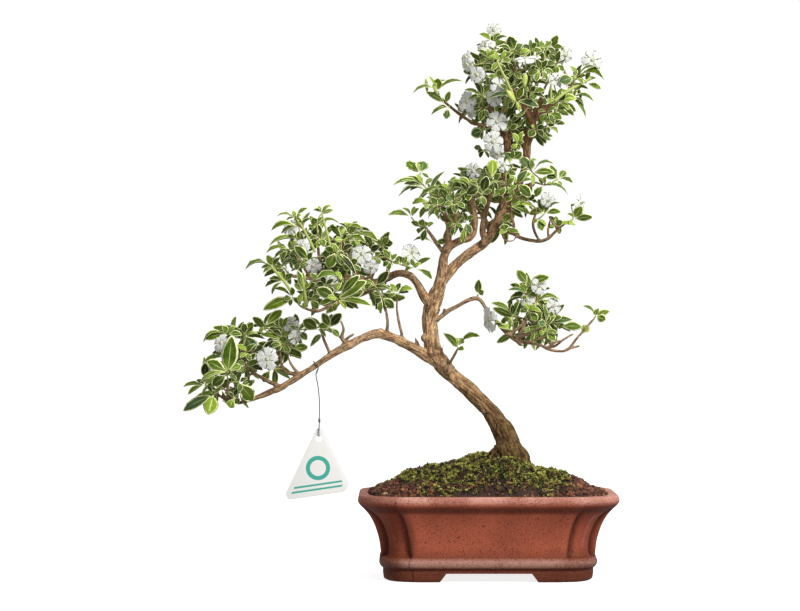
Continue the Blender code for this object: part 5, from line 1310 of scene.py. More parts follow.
def grow_canopy(seed):
    """Every spray's shoots, as {spray: Shoots}."""
    canopy = Canopy(seed)
    shoots_by = {name: Shoots() for name in ROSETTES}
    for name, rosettes in ROSETTES.items():
        spots = [(place(*rosette[:3]), rosette[3]) for rosette in rosettes]
        spots.sort(key=lambda spot: min((spot[0] - end[0]).length for end in canopy.ends))
        for centre, leaves in spots:
            canopy.front_rosette(shoots_by[name], centre, leaves)
    for *ends, radius, name in GREEN_STEMS:
        foot, top = place(*ends[:3]), place(*ends[3:])
        arriving = (top - foot).normalized()
        leaving = (arriving + Vector((0, 0, 0.3))).normalized()
        shoots_by[name].add_twig(foot, leaving, top, arriving, radius * MM, radius * 0.8 * MM, 0.8)
    clouds = {name: cloud for name in ROSETTES for cloud in CLOUDS.values()
              if name.removeprefix("spray_").startswith(cloud[0])}
    for name, cloud in clouds.items():
        spots = [place(*rosette[:3]) for other, rosettes in ROSETTES.items()
                 if clouds.get(other) is cloud for rosette in rosettes]
        middle = sum(spots, Vector()) / len(spots)
        for rosette in ROSETTES[name]:
            canopy.fill_behind(shoots_by[name], place(*rosette[:3]), middle, *cloud[1:])
    return shoots_by


# ---------------------------------------------------------------- flowers and buds
PETAL_ACROSS = (-1.0, -0.5, 0.0, 0.5, 1.0)
PETAL_STATIONS = (  # share of the length, and of the greatest width
    (0.0, 0.36), (0.25, 0.54), (0.5, 0.76), (0.72, 0.98), (0.88, 0.96), (1.0, 0.55))
LOBES = 5
TUBE_MOUTH = 1.1 * MM
TUBE_LENGTH = 6.8 * MM
TUBE_RADII = (0.00055, 0.00065, 0.0009, 0.0016, 0.0020)
FILAMENT_RADII = (0.00012, 0.00012, 0.0001)
STALK_RADII = (0.0006, 0.0005, 0.0005)
ANTHER = ((-0.2, 0.1), (0.3, 0.32), (0.9, 0.12))  # place along the stamen and radius, in mm
CALYX = ((-1.4, 0.4), (-0.6, 1.0), (0.8, 0.95), (1.6, 0.6))  # place along the tube and radius, in mm
PETAL, STAMEN, GREEN = range(3)  # finishes of a flower, in their order
BUD, BUD_GREEN = range(2)  # finishes of a bud


def petal_mesh(rng, length, width, curl, ruffle):
    """One lobe of a flower from the throat outwards: along X, up Z, as a closed lens with UVs."""
    vertices, faces = [], []
    phase = rng.uniform(0, math.tau)

    def add(share, breadth, across, level):
        rim = abs(across) ** 2 * share
        notch = 0.07 * math.cos(across * math.tau) * share ** 4
        x = length * (share + notch - 0.08 * across * across * share)
        lift = (length * (0.30 * share - curl * share * share)
                + ruffle * rim * math.sin(phase + across * 2.6 + share * 7))
        thick = level * 0.00013 * (1 - across * across) * (1 - 0.6 * share)
        vertices.append((x, across * breadth, lift + thick + 0.0004 * across * across * share))
        return len(vertices) - 1

    lines = [lens_line(lambda across, level: add(share, width / 2 * fullness, across, level),
                       PETAL_ACROSS) for share, fullness in PETAL_STATIONS]
    for (upper, lower), (next_upper, next_lower) in zip(lines, lines[1:]):
        for k in range(4):
            faces.append((upper[k + 1], upper[k], next_upper[k], next_upper[k + 1]))
            faces.append((lower[k], lower[k + 1], next_lower[k + 1], next_lower[k]))
    for (upper, lower), turn in ((lines[0], 1), (lines[-1], -1)):
        for k in range(4):
            ring = dict.fromkeys((upper[k], upper[k + 1], lower[k + 1], lower[k]))
            faces.append(tuple(ring)[::turn])
    return vertices, faces, [(v[1] / width + 0.5, min(1.0, v[0] / length)) for v in vertices]


def tube_part(points, radii, sides, finish, along=1.0):
    vertices = [v for ring in tube_rings(points, radii, sides) for v in ring]
    uvs = [(0.5 + 0.4 * math.cos(math.tau * (i % sides) / sides),
            along * (i // sides) / (len(points) - 1)) for i in range(len(vertices))]
    return vertices, ring_faces(sides, len(points)), uvs, finish


def turned_part(origin, way, profile, sides, finish):
    """A part that is round about an axis, from its rows of place along the axis and radius, in mm."""
    return tube_part([origin + way * (step * MM) for step, _ in profile],
                     [radius * MM for _, radius in profile], sides, finish)


def flower_parts(base, centre, face, span, rng):
    """Tube, lobes, stamens and calyx of one flower, as (vertices, faces, uvs, finish number)."""
    side = face.orthogonal().normalized()
    side = Matrix.Rotation(rng.uniform(0, math.tau), 3, face) @ side
    across = face.cross(side)
    away = (centre - base).normalized()
    points = [base, base.lerp(centre, 0.35), base.lerp(centre, 0.7), centre - face * 0.0006,
              centre + face * 0.0004]
    parts = [tube_part(points, TUBE_RADII, 10, PETAL, along=0.3)]
    turn = rng.uniform(0, math.tau)
    for k in range(LOBES):
        out = round_about(side, across, turn + math.tau * k / LOBES + rng.uniform(-0.1, 0.1))
        beside = face.cross(out)
        length = span / 2 * rng.uniform(0.88, 1.06) - TUBE_MOUTH
        vertices, faces, uvs = petal_mesh(rng, length, span * rng.uniform(0.42, 0.52),
                                          rng.uniform(0.30, 0.62), 0.00075)
        root = centre + out * TUBE_MOUTH + face * 0.0001
        placed_here = [root + out * x + beside * y + face * z for x, y, z in vertices]
        parts.append((placed_here, faces, uvs, PETAL))
    for k in range(LOBES):
        out = round_about(side, across, turn + math.tau * (k + 0.5) / LOBES)
        tip = centre + out * rng.uniform(0.0006, 0.0014) + face * rng.uniform(0.0016, 0.0030)
        start = centre + out * 0.0005 - face * 0.001
        filament = [start, start.lerp(tip, 0.5) + out * 0.0001, tip]
        parts.append(tube_part(filament, FILAMENT_RADII, 4, STAMEN))
        parts.append(turned_part(tip, face, ANTHER, 5, STAMEN))
    return parts + [turned_part(base, away, CALYX, 8, GREEN)]


def parts_mesh(name, parts):
    """One mesh of parts given as (vertices, faces, uvs, finish number)."""
    vertices, faces, uvs, numbers = [], [], [], []
    for part_vertices, part_faces, part_uvs, number in parts:
        faces += [tuple(len(vertices) + i for i in face) for face in part_faces]
        vertices += part_vertices
        uvs += part_uvs
        numbers += [number] * len(part_faces)
    mesh = mesh_from(name, vertices, faces)
    put_uvs(mesh, uvs)
    mesh.polygons.foreach_set("material_index", numbers)
    put_attribute(mesh, "green", [0.9] * len(vertices))
    return outward(mesh)


# Open flowers on the squared paper: column, row, depth in mm, degrees turned right of facing the
# front, degrees tilted up, span in mm, and the node that the flower stands for, if any
FLOWERS = [
    (494, 30, 17, -10, 15, 11, ""), (486, 46, 8, -25, 35, 13, "flower_2"),
    (466, 58, -8, -50, 15, 10, ""), (467, 65, -12, -40, -10, 10, ""),
    (477, 75, -24, -30, 5, 12, ""), (525.5, 59, -38, -5, 66, 15, ""),
    (565, 55, -20, 25, -8, 12, ""), (592, 60, 12, 18, 4, 15, "flower_1"),
    (556, 79, -30, 10, 10, 10, ""), (499, 86, -38, 5, 10, 12, "flower_3"),
    (494, 99, -30, -15, -10, 11, ""), (467, 102, -10, -35, 5, 14, ""),
    (471, 114, -6, -45, -30, 8, ""), (497, 122, -24, 5, 5, 14, ""), (493, 142, -26, -5, 0, 14.5, ""),
    (497, 153, -20, -15, -30, 11, ""), (503, 165, -28, 10, 10, 10, "flower_5"),
    (473, 171, -26, -30, 5, 11, "flower_4"), (548, 200, -20, 25, -10, 11, ""),
    (580, 203, -8, 60, 5, 13, ""), (302, 246, -16, -10, 10, 11, ""),
    (290, 228, -6, -30, 20, 11, "flower_6"), (313, 266, -24, 0, 5, 11, ""),
    (362, 254, -22, 0, 10, 14.5, ""), (371, 267, -20, 15, -20, 11, ""),
    (411, 253, -12, 35, 20, 15, "flower_7"), (331, 284, -30, 5, -15, 11, ""),
    (291, 324, -8, 0, 15, 11, "flower_9"), (295, 337, -16, 15, -20, 10, ""),
    (267, 359, -26, -5, -5, 15, ""), (221, 343, -34, -30, 20, 12, "flower_8"),
    (489, 320, -26, -60, -4, 17, ""), (539, 286, -14, 10, 10, 12, "flower_10"),
    (527, 300, -10, -10, 15, 10, ""), (553, 306, -14, 25, 5, 11, "")]
# Unopened buds: column and row of the tip and of the foot, depth in mm, fullness, and the node
BUDS = [(426, 78, 427, 90, 2, 1.0, "bud_1"), (433, 84, 436, 92, -2, 1.0, ""),
        (525.5, 73, 524.5, 86, -47, 1.6, ""), (507, 90, 514, 101, -48, 1.5, "")]
BUD_PROFILE = (  # share of the way from the foot to the tip, and radius in mm
    (0.0, 0.55), (0.12, 0.8), (0.3, 1.15), (0.55, 1.35), (0.78, 1.15), (0.93, 0.6), (1.0, 0.15))
BUD_FOOT = ((-0.15, 0.5), (0.0, 1.0), (0.2, 1.3), (0.3, 0.9))  # the same of its green foot


def make_flowers(finishes, scale):
    rng = random.Random(23)
    tree = nearest_of([place(*rosette[:3]) for rosettes in ROSETTES.values() for rosette in rosettes])
    loose = []
    for column, row, depth, turn, tilt, span, node in FLOWERS:
        centre = place(column, row, depth)
        yaw, pitch = math.radians(turn), math.radians(tilt)
        face = Vector((math.sin(yaw) * math.cos(pitch), -math.cos(yaw) * math.cos(pitch),
                       math.sin(pitch)))
        base = centre - face * TUBE_LENGTH + Vector((0, 0.8, -0.8)) * MM
        near = Vector(tree.find(base + Vector((0, 4, -3)) * MM)[0])
        parts = flower_parts(base, centre, face, span * MM * scale, rng)
        if (near - base).length > MM:
            bend = near.lerp(base, 0.5) - Vector((0, 0, MM))
            parts.append(tube_part([near, bend, base - face * MM], STALK_RADII, 7, GREEN))
        if node:
            settle(add_object(node + "_bloom", parts_mesh(node + "_bloom", parts), finishes), "petal", node)
        else:
            loose += parts
    settle(add_object("crown_blooms", parts_mesh("crown_blooms", loose), finishes), "petal")


def make_buds(finishes):
    loose = []
    for column, row, foot_column, foot_row, depth, fullness, node in BUDS:
        tip = place(column, row, depth - 2)
        foot = place(foot_column, foot_row, depth + 1)
        parts = [tube_part([foot.lerp(tip, share) for share, _ in profile],
                           [radius * swollen * MM for _, radius in profile], sides, finish)
                 for profile, swollen, sides, finish in ((BUD_PROFILE, fullness, 14, BUD),
                                                         (BUD_FOOT, 1.0, 10, BUD_GREEN))]
        if node:
            settle(add_object("bud_tip", parts_mesh("bud_tip", parts), finishes), "bud", node)
        else:
            loose += parts
    settle(add_object("crown_buds", parts_mesh("crown_buds", loose), finishes), "bud")


# ---------------------------------------------------------------- pot
POT_X = 69.8
RIM_HALF_LENGTH = 103.0
RIM_HALF_DEPTH = 66.0
BODY_HALF_LENGTH = 85.4
BODY_HALF_DEPTH = 48.4
FOOT_HEIGHT = 7.0
FOOT_WIDTH = 11.0
LIP_WIDTH = 8.0
DRAIN_X = 38.0
DRAIN_RADIUS = 9.0
SHALLOW_CREASE = 0.8
OUTLINE_STEP = 6.0
GAPS_BETWEEN_FEET = (  # half widths at the floor and at the top, half length of the cut, along X
    (39.5, 33.5, 80, False), (19.5, 13.5, 120, True))
# The creases beside the corner lobes are cut into the body alone: the lip, the lower band and the
# foot run round each corner unbroken.
POT_OUTSIDE = [  # height in mm, flare, inset in mm, depth of the creases in mm
    (0, 0, 5.0, 0.8), (1.2, 0, 2.8, 0.8), (7.5, 0, 2.0, 0.8), (9.5, 0, 2.4, 0.8),
    (11.5, 0, 0.2, 0.8), (15.3, 0, -1.2, 0.8), (18.6, 0, 0.2, 1.4), (20.6, 0, 0.5, 6.0),
    (32, 0.05, 0.0, 7.4), (44, 0.26, 0.0, 7.4), (51.5, 0.49, 0.0, 6.6), (56.5, 0.71, 0.0, 4.0),
    (59.8, 0.89, 0.0, 1.6), (62.8, 1.0, 0.0, 0.8), (66.2, 0.99, 0.0, 0.8), (68.0, 0.92, 0.0, 0.8)]
POT_INSIDE = [
    (68.0, 1.0, 8.0, 0.8), (66.4, 1.0, 9.2, 0.8), (58.6, 0.85, 9.2, 2.4), (46, 0.35, 7.5, 7.0),
    (28, 0.05, 7.0, 7.0), (17, 0.0, 7.5, 1.2), (15, 0.0, 9.5, 0.8)]


def pot_outline(half_length, half_depth, corner, notch, fine=1):
    """Rectangle whose corners are round lobes between two creases, seen from above, in mm."""
    lobe = corner - notch
    small, large = 3 * fine, 4 * fine
    length_side, depth_side = half_length - corner, half_depth - corner

    def arc(middle_x, middle_y, radius, steps, count):
        for k in steps:
            angle = math.pi / 2 * k / count
            yield middle_x + radius * math.cos(angle), middle_y + radius * math.sin(angle)

    quarter = [*arc(half_length - notch, depth_side - notch, notch, range(small), small),
               *arc(length_side, depth_side, lobe, range(large + 1), large),
               *arc(length_side - notch, half_depth - notch, notch, range(1, small + 1), small)]
    mirrored = quarter[::-1]
    return (quarter + [(-x, y) for x, y in mirrored] + [(-x, -y) for x, y in quarter]
            + [(x, -y) for x, y in mirrored])


def pot_plan(spread, inset, crease=SHALLOW_CREASE):
    """Half length, half depth, corner and depth of the creases of the pot's outline, in mm."""
    flare = spread * (RIM_HALF_LENGTH - BODY_HALF_LENGTH)
    return (BODY_HALF_LENGTH + flare - inset, BODY_HALF_DEPTH + flare - inset,
            23.5 + 6.0 * spread, crease)


def divided_shape(fine):
    """A function that divides the sides of any of the pot's outlines into the same steps."""
    full = pot_outline(*pot_plan(1.0, 0.0), fine)
    steps = [max(1, round(math.dist(a, b) / OUTLINE_STEP)) for a, b in zip(full, full[1:] + full[:1])]

    def shape(outline):
        points = []
        for (x0, y0), (x1, y1), count in zip(outline, outline[1:] + outline[:1], steps):
            points += [(x0 + (x1 - x0) * k / count, y0 + (y1 - y0) * k / count) for k in range(count)]
        return points
    return shape


def eased(table, rounds):
    """The profile with its corners cut off in each round, which makes them softer."""
    rows = [np.array(row, float) for row in table]
    for _ in range(rounds):
        cut = [rows[0]]
        for a, b in zip(rows, rows[1:]):
            cut += [a * 0.78 + b * 0.22, a * 0.22 + b * 0.78]
        rows = cut + [rows[-1]]
    return rows


def cut_away(made, cutters):
    for mesh in cutters:
        cutter = add_object("cutter", outward(mesh), smooth=False)
        modifier = made.modifiers.new("cut", "BOOLEAN")
        modifier.object = cutter
        modifier.operation = "DIFFERENCE"
        modifier.solver = "EXACT"
        made.data = finished_mesh(made)
        made.modifiers.clear()
        bpy.data.objects.remove(cutter)


def pot_point(x, y, z):
    """A point measured in mm from the ground under the middle of the pot."""
    return Vector(((POT_X + x) * MM, y * MM, z * MM))


def foot_cutters():
    """What is cut from the underside: the recess, the gaps between the feet and the drain holes."""
    recess = pot_outline(BODY_HALF_LENGTH - FOOT_WIDTH, BODY_HALF_DEPTH - FOOT_WIDTH, 24, 8, 2)
    cutters = [rings_mesh("recess", [[pot_point(x, y, z) for x, y in recess] for z in (-1, FOOT_HEIGHT)])]
    for low_half, high_half, across, sideways in GAPS_BETWEEN_FEET:
        profile = [(-low_half, -1), (low_half, -1), (high_half, FOOT_HEIGHT), (-high_half, FOOT_HEIGHT)]
        cutters.append(rings_mesh("gap", [
            [pot_point(shift, u, z) if sideways else pot_point(u, shift, z) for u, z in profile]
            for shift in (-across, across)]))
    for side in (-1, 1):
        points = [pot_point(side * DRAIN_X, 0, z) for z in (4, 19)]
        cutters.append(rings_mesh("drain", tube_rings(points, (DRAIN_RADIUS * MM,) * 2, 40)))
    return cutters


def bump(value, middle, half):
    return max(0.0, 1 - ((value - middle) / half) ** 2)


def smooth_step(low, high, value):
    t = min(1.0, max(0.0, (value - low) / (high - low)))
    return t * t * (3 - 2 * t)


def make_pot(finish):
    fine = 3
    shape = divided_shape(fine)
    outside = eased(POT_OUTSIDE, 2)
    rings = [[pot_point(x, y, height)
              for x, y in shape(pot_outline(*pot_plan(spread, inset, crease), fine))]
             for height, spread, inset, crease in outside + eased(POT_INSIDE, 1)]
    pot = add_object("glazed_pot", outward(rings_mesh("glazed_pot", rings)), [finish])
    cut_away(pot, foot_cutters())
    mesh = pot.data
    heights, spreads, _, creases = zip(*outside)
    painted_sheen, hollow_shade = [], []
    for vertex in mesh.vertices:
        x, y, z = (c / MM for c in vertex.co)
        deep = float(np.interp(z, heights, creases))
        half_length, half_depth, corner, notch = pot_plan(float(np.interp(z, heights, spreads)), 0.0, deep)
        from_middle = (abs(x - POT_X), abs(y))
        crease = min(math.dist(from_middle, (half_length - notch, half_depth - corner)),
                     math.dist(from_middle, (half_length - corner, half_depth - notch)))
        outer = from_middle[0] > half_length - 12 or from_middle[1] > half_depth - 12
        fold = max(0.0, 1 - crease / 6.0) * min(1.0, max(0.0, deep - SHALLOW_CREASE) / 4.0)
        # Painted shade under the lip, in the seam above the foot, in the creases beside the lobes and lightly
        # over the inside; painted sheen on the lip and the lower band, and lightly over the inside.
        under_lip, groove = bump(z, 57.6, 4.2) * 0.75, bump(z, 10.0, 1.6)
        lip, band = smooth_step(60.5, 65.5, z), bump(z, 15.2, 4.2) * 0.8
        hollow_shade.append(max(under_lip, groove, fold) if outer else 0.3)
        painted_sheen.append(max(lip, band) if outer else 0.4)
    put_attribute(mesh, "painted_sheen", painted_sheen)
    put_attribute(mesh, "hollow_shade", hollow_shade)
    mesh.shade_smooth()
    mesh.set_sharp_from_angle(angle=math.radians(38))
    settle(pot, "clay", "pot")


# ---------------------------------------------------------------- soil and moss
SOIL_EDGE = 66.0
INNER_HALF_LENGTH = RIM_HALF_LENGTH - LIP_WIDTH
INNER_HALF_DEPTH = RIM_HALF_DEPTH - LIP_WIDTH
MOSS_THICKNESS = 3.0
SHAPES_STREWN = 6
SOIL_INSET = 9.6
SOIL_RINGS = 34
INNERMOST_RING = 0.03
SOIL_TOP_FROM = 60
SOIL_INSIDE = [  # the part in the pot: height in mm, flare, inset in mm, depth of the creases in mm
    (18.3, 0.0, 8.3, 1.6), (28, 0.05, 7.6, 7.0), (46, 0.35, 8.1, 7.0), (58.6, 0.85, 9.8, 2.4)]
STONY_CORNERS = ((-8, -24, 0.6), (150, -12, 0.5))  # middle X and Y in mm, and how much Y counts
STONES_WITHIN = (34, 36)
BARE_OF_MOSS_WITHIN = (26, 30)
CRUMBS = {"Spacing": 0.0019, "Density": 520000.0, "Lean": 0.7, "Seed": 4}
THIN_MOSS = {"Spacing": 0.0015, "Density": 500000.0, "Lean": 0.5, "Seed": 8}
CUSHION_MOSS = {"Spacing": 0.00125, "Density": 520000.0, "Lean": 0.45}
STONES_FROM_X = 131


def soil_height(x, y):
    """The mound, in mm, less the moss that lies on it."""
    crest = float(np.interp(x, [row[0] for row in CREST], [row[1] for row in CREST]))
    across = min(1.0, abs(y) / INNER_HALF_DEPTH)
    mound = SOIL_EDGE + (crest - SOIL_EDGE) * (1 - across ** 2.2)
    edge = min(1.0, max(abs(x - POT_X) / INNER_HALF_LENGTH, abs(y) / INNER_HALF_DEPTH))
    return mound - MOSS_THICKNESS * (1 - edge ** 6)


def ground_height(x, y):
    """The soil's rough surface, in mm."""
    where = Vector((x, y, 0)) * 0.11
    rough = noise.noise(where) * 1.3 + noise.noise(where * 3.1) * 0.8 + noise.noise(where * 8) * 0.4
    return soil_height(x, y) + rough - 0.3


def stony(x, y, *radii):
    """How near a place is to the stony corners of the mound, from 1 down, for their radii in mm."""
    return max(1 - math.dist((x, y * squeeze), (middle_x, middle_y)) / radius
               for (middle_x, middle_y, squeeze), radius in zip(STONY_CORNERS, radii))


def pebble(seed):
    """A rough crumb of soil, one unit in radius."""
    rng = random.Random(seed)
    stretch = Vector((rng.uniform(0.8, 1.25), rng.uniform(0.7, 1.0), rng.uniform(0.55, 0.9)))

    def roughen(bm):
        bmesh.ops.create_cube(bm, size=1.0)
        bmesh.ops.subdivide_edges(bm, edges=bm.edges[:], cuts=1, use_grid_fill=True)
        for vertex in bm.verts:
            vertex.co = vertex.co.normalized() * rng.uniform(0.66, 1.25) * stretch

    mesh = reworked(bpy.data.meshes.new("crumb"), roughen)
    mesh.shade_smooth()
    return mesh


def tuft(seed):
    """A few leaning spikes of moss, one unit tall; rise is 0 at the foot and 1 at the tip."""
    rng = random.Random(seed + 50)
    vertices, faces, rise = [], [], []
    for k in range(6):
        angle = math.tau * k / 6 + rng.uniform(-0.5, 0.5)
        lean = rng.uniform(0.1, 0.95)
        foot = Vector((math.cos(angle), math.sin(angle), 0)) * 0.14
        tip = Vector((math.cos(angle) * lean, math.sin(angle) * lean, rng.uniform(0.55, 1.0)))
        waist = foot.lerp(tip, 0.55) + Vector((0, 0, 0.12))
        start = len(vertices)
        for middle, width, share in ((foot, 0.16, 0.0), (waist, 0.13, 0.6)):
            for j in range(3):
                turn = angle + math.tau * j / 3
                vertices.append(middle + Vector((math.cos(turn), math.sin(turn), 0)) * width)
                rise.append(share)
        vertices.append(tip)
        rise.append(1.0)
        faces.append((start + 2, start + 1, start))
        for j in range(3):
            after = (j + 1) % 3
            faces.append((start + j, start + after, start + 3 + after, start + 3 + j))
            faces.append((start + 3 + j, start + 3 + after, start + 6))
    mesh = mesh_from("tuft", vertices, faces)
    put_attribute(mesh, "rise", rise)
    return outward(mesh)


def strewn(name, mesh, shape, finish, smallest, largest, **inputs):
    """The mesh with shapes strewn over it where its cover attribute is above 0."""
    store = shape_store(shape.__name__, [shape(seed) for seed in range(SHAPES_STREWN)])
    mesh = grow(name, mesh, scatter_tree(), {"Shapes": store, "Finish": finish, "Smallest": smallest,
                                             "Largest": largest, **inputs})
    drop_store(store)
    return mesh


def make_soil(ground_finish, grit, smallest, largest, moss, moss_height):
    """The soil with its crumbs, and as a second piece the moss that grows between the cushions."""
    shape = divided_shape(2)
    rings = [[(POT_X + x, y, height) for x, y in shape(pot_outline(*pot_plan(*plan), 2))]
             for height, *plan in SOIL_INSIDE]
    edge = shape(pot_outline(*pot_plan(1.0, SOIL_INSET), 2))
    for share in np.linspace(1.0, INNERMOST_RING, SOIL_RINGS):
        rings.append([(POT_X + x * share, y * share, ground_height(POT_X + x * share, y * share))
                      for x, y in edge])
    mesh = outward(rings_mesh("ground", [[Vector(v) * MM for v in ring] for ring in rings]))
    bare = len(mesh.vertices)
    crumbs, mossy = [], []
    for vertex, normal in zip(mesh.vertices, [v.normal.copy() for v in mesh.vertices]):
        x, y, z = vertex.co / MM
        top = z > SOIL_TOP_FROM
        stones = min(1.0, 0.28 + 1.5 * max(0.0, stony(x, y, *STONES_WITHIN)))
        crumbs.append(stones if top and normal.z > 0.4 else 0.0)
        inner = max(abs(x - POT_X) / INNER_HALF_LENGTH, abs(y) / INNER_HALF_DEPTH)
        patch = noise.noise(Vector((x, y, 9)) * 0.09)
        mossy.append(smooth_step(-0.1, 0.25, 0.62 - inner ** 4 * 0.75 + patch * 0.7
                                 - 1.2 * max(0.0, stony(x, y, *BARE_OF_MOSS_WITHIN))) if top else 0.0)
    put_attribute(mesh, "cover", crumbs)
    mesh.materials.append(ground_finish)
    overgrown = mesh.copy()
    settle(add_object("ground", strewn("ground", mesh, pebble, grit, smallest, largest, **CRUMBS)),
           "soil", "soil")
    overgrown.attributes["cover"].data.foreach_set("value", np.array(mossy, np.float32))
    mesh = strewn("ground_moss", overgrown, tuft, moss, moss_height * 0.4, moss_height * 1.1, **THIN_MOSS)

    def drop_ground(bm):
        bm.verts.ensure_lookup_table()
        bmesh.ops.delete(bm, geom=bm.verts[:bare], context="VERTS")

    settle(add_object("ground_moss", reworked(mesh, drop_ground)), "moss")


def make_moss(name, middle_x, middle_y, half_length, half_depth, height, ground_finish, moss, grit,
              smallest, largest):
    """A lumpy cushion over the mound, with tufts standing on it."""
    around, levels = 72, 18
    tops, bottoms = [], []
    for level in range(levels):
        share = 1 - level / levels
        top, bottom = [], []
        for k in range(around):
            angle = math.tau * k / around
            wobble = 1 + 0.05 * math.sin(3 * angle + middle_x) + 0.03 * math.cos(5 * angle + middle_y)
            wobble *= 1 + 0.05 * noise.noise(Vector((math.cos(angle) * 2.2, math.sin(angle) * 2.2,
                                                     middle_x)))
            x = middle_x + half_length * share * wobble * math.cos(angle)
            y = middle_y + half_depth * share * wobble * math.sin(angle)
            where = Vector((x, y, 3.0)) * 0.09
            lump = noise.noise(where) * 2.2 + noise.noise(where * 2.7) * 1.5 + noise.noise(where * 6) * 0.5
            swell = (1 - share ** 5)
            low = soil_height(x, y)
            top.append(Vector((x, y, low + 0.2 + swell * (MOSS_THICKNESS - 0.4 + lump))) * MM)
            bottom.append(Vector((x, y, low - 1.6 * swell - 0.4)) * MM)
        tops.append(top)
        bottoms.append(bottom)
    mesh = outward(rings_mesh(name, bottoms[::-1] + tops))
    bare = [smooth_step(0.0, 6.0, v.co.x / MM - STONES_FROM_X + 3 * noise.noise(v.co * 300))
            for v in mesh.vertices]
    facing = [1.0 if v.normal.z > 0.2 else 0.0 for v in mesh.vertices]
    put_attribute(mesh, "cover", [up * (1 - stones) for up, stones in zip(facing, bare)])
    mesh.materials.append(ground_finish)
    mesh = strewn(name, mesh, tuft, moss, height * 0.35, height * 1.2, Seed=int(middle_x), **CUSHION_MOSS)
    cover = np.zeros(len(mesh.vertices), np.float32)
    cover[:len(bare)] = [up * stones for up, stones in zip(facing, bare)]
    if cover.any():
        mesh.attributes["cover"].data.foreach_set("value", cover)
        mesh = strewn(name, mesh, pebble, grit, smallest, largest, **CRUMBS)
    settle(add_object(name + "_cushion", mesh), "moss", name)


# ---------------------------------------------------------------- label and its thread
TAG_THICKNESS = 1.0
TAG_HOLE_RADIUS = 2.4
TAG_SOFT_EDGE = 0.22
THREAD_RADIUS = 0.4
KNOT_RADIUS = 0.34
KNOT_LENGTH = 2.6
KNOT_TURNS = 2.5
KNOT_STEPS = 33
THREAD_BEND = 1.8
GAP = 0.3
LABEL_RULES = (5.2, 8.8)
LABEL_RING = (318.0, 468.0)
RING_RADIUS = 8.0
THREAD_TURNS = 30.0
THREAD_PLIES = 3
BRANCH_BY_THREAD = ((310, 369, -13), (320, 362, -12))


def thread_points():
    """Over the branch, down to the knot, through the hole of the label and back up to the knot."""
    branch = place(*THREAD_ON_BRANCH)
    around = (BRANCH_RADIUS_AT_THREAD + GAP * 2 + THREAD_RADIUS) * MM
    knot = place(*THREAD_KNOT, TAG_DEPTH)
    hole = place(*TAG_HOLE, TAG_DEPTH)
    slope = (place(*BRANCH_BY_THREAD[1]) - place(*BRANCH_BY_THREAD[0])).normalized()
    up = (Vector((0, 0, 1)) - slope * slope.z).normalized()
    beside = Vector((0, 1, 0))
    bend = THREAD_BEND * MM
    low = hole + Vector((0, 0, (TAG_HOLE_RADIUS - GAP - THREAD_RADIUS) * MM))
    meet = branch - Vector((0, 0, around + 4 * MM))
    points = [meet + beside * 1.3 * MM, branch - up * around * 0.9 + beside * around * 0.85]
    for degrees in (90, 45, 0, -45, -90):
        angle = math.radians(degrees)
        points.append(branch + up * (around * math.cos(angle)) + beside * (around * math.sin(angle)))
    points += [branch - up * around * 0.9 - beside * around * 0.75, meet - beside * 0.3 * MM]
    points += [meet.lerp(knot, share) + Vector((1.2 * MM * math.sin(math.pi * share), 0, 0))
               for share in (0.25, 0.5, 0.75)]
    points += [knot, low + Vector((0, -bend, bend + 3.5 * MM)), low + Vector((0, -bend, bend))]
    for degrees in (45, 90, 135):
        angle = math.radians(degrees)
        points.append(low + Vector((0, -bend * math.cos(angle), bend - bend * math.sin(angle))))
    points += [low + Vector((0, bend, bend)), low + Vector((0, bend, bend + 3.5 * MM)),
               knot + Vector((0, 1.3 * MM, -0.5 * MM))]
    return [Vector(row) for row in curve_through([tuple(p) for p in points], 0.0004)]


def make_thread(finish, label):
    points = thread_points()
    sides = 10
    mesh = rings_mesh("hanging_thread", tube_rings(points, [THREAD_RADIUS * MM] * len(points), sides))
    layer = mesh.uv_layers.new(name="UVMap")
    for polygon in mesh.polygons:
        seam = len(polygon.vertices) == 4 and any(v % sides == sides - 1 for v in polygon.vertices)
        for loop in polygon.loop_indices:
            level, around = divmod(mesh.loops[loop].vertex_index, sides)
            layer.data[loop].uv = ((around or sides * seam) / sides, level / (len(points) - 1))
    thread = settle(add_object("hanging_thread", mesh, [finish]), "thread", "tag_thread")
    knot = place(*THREAD_KNOT, TAG_DEPTH)
    turns = []
    for k in range(KNOT_STEPS + 1):
        angle = math.tau * KNOT_TURNS * k / KNOT_STEPS
        turns.append(knot + Vector((0.75 * math.cos(angle), 0.65 * math.sin(angle) + 0.4,
                                    KNOT_LENGTH * k / KNOT_STEPS - KNOT_LENGTH / 2)) * MM)
    wrap = rings_mesh("thread_knot", tube_rings(turns, [KNOT_RADIUS * MM] * len(turns), 8))
    knot_piece = settle(add_object("thread_knot", outward(wrap), [finish]), "thread")


def label_outline(inset):
    """Corners of the plate, each rounded by a short arc, moved in by inset mm; x and z in metres."""
    flat = [place(column, row, TAG_DEPTH).xz for column, row in TAG_CORNERS]
    middle = sum(flat, Vector((0, 0))) / len(flat)
    lines = []
    for a, b in zip(flat, flat[1:] + flat[:1]):
        normal = Vector((-(b - a).y, (b - a).x)).normalized()
        if (middle - a).dot(normal) < 0:
            normal = -normal
        lines.append((a + normal * inset * MM, (b - a).normalized(), normal))
    moved = []
    for (a, u, _), (b, v, _) in zip(lines[-1:] + lines, lines):
        cross = u.x * v.y - u.y * v.x
        moved.append(a + u * (((b - a).x * v.y - (b - a).y * v.x) / cross))
    outline = []
    for before, here, after in zip(moved[-1:] + moved, moved, moved[1:] + moved[:1]):
        reach = min(1.6 * MM, (before - here).length * 0.35, (after - here).length * 0.35)
        start = here + (before - here).normalized() * reach
        end = here + (after - here).normalized() * reach
        outline += [(start.lerp(here, t)).lerp(here.lerp(end, t), t) for t in (0.0, 0.25, 0.5, 0.75, 1.0)]
    return outline, lines


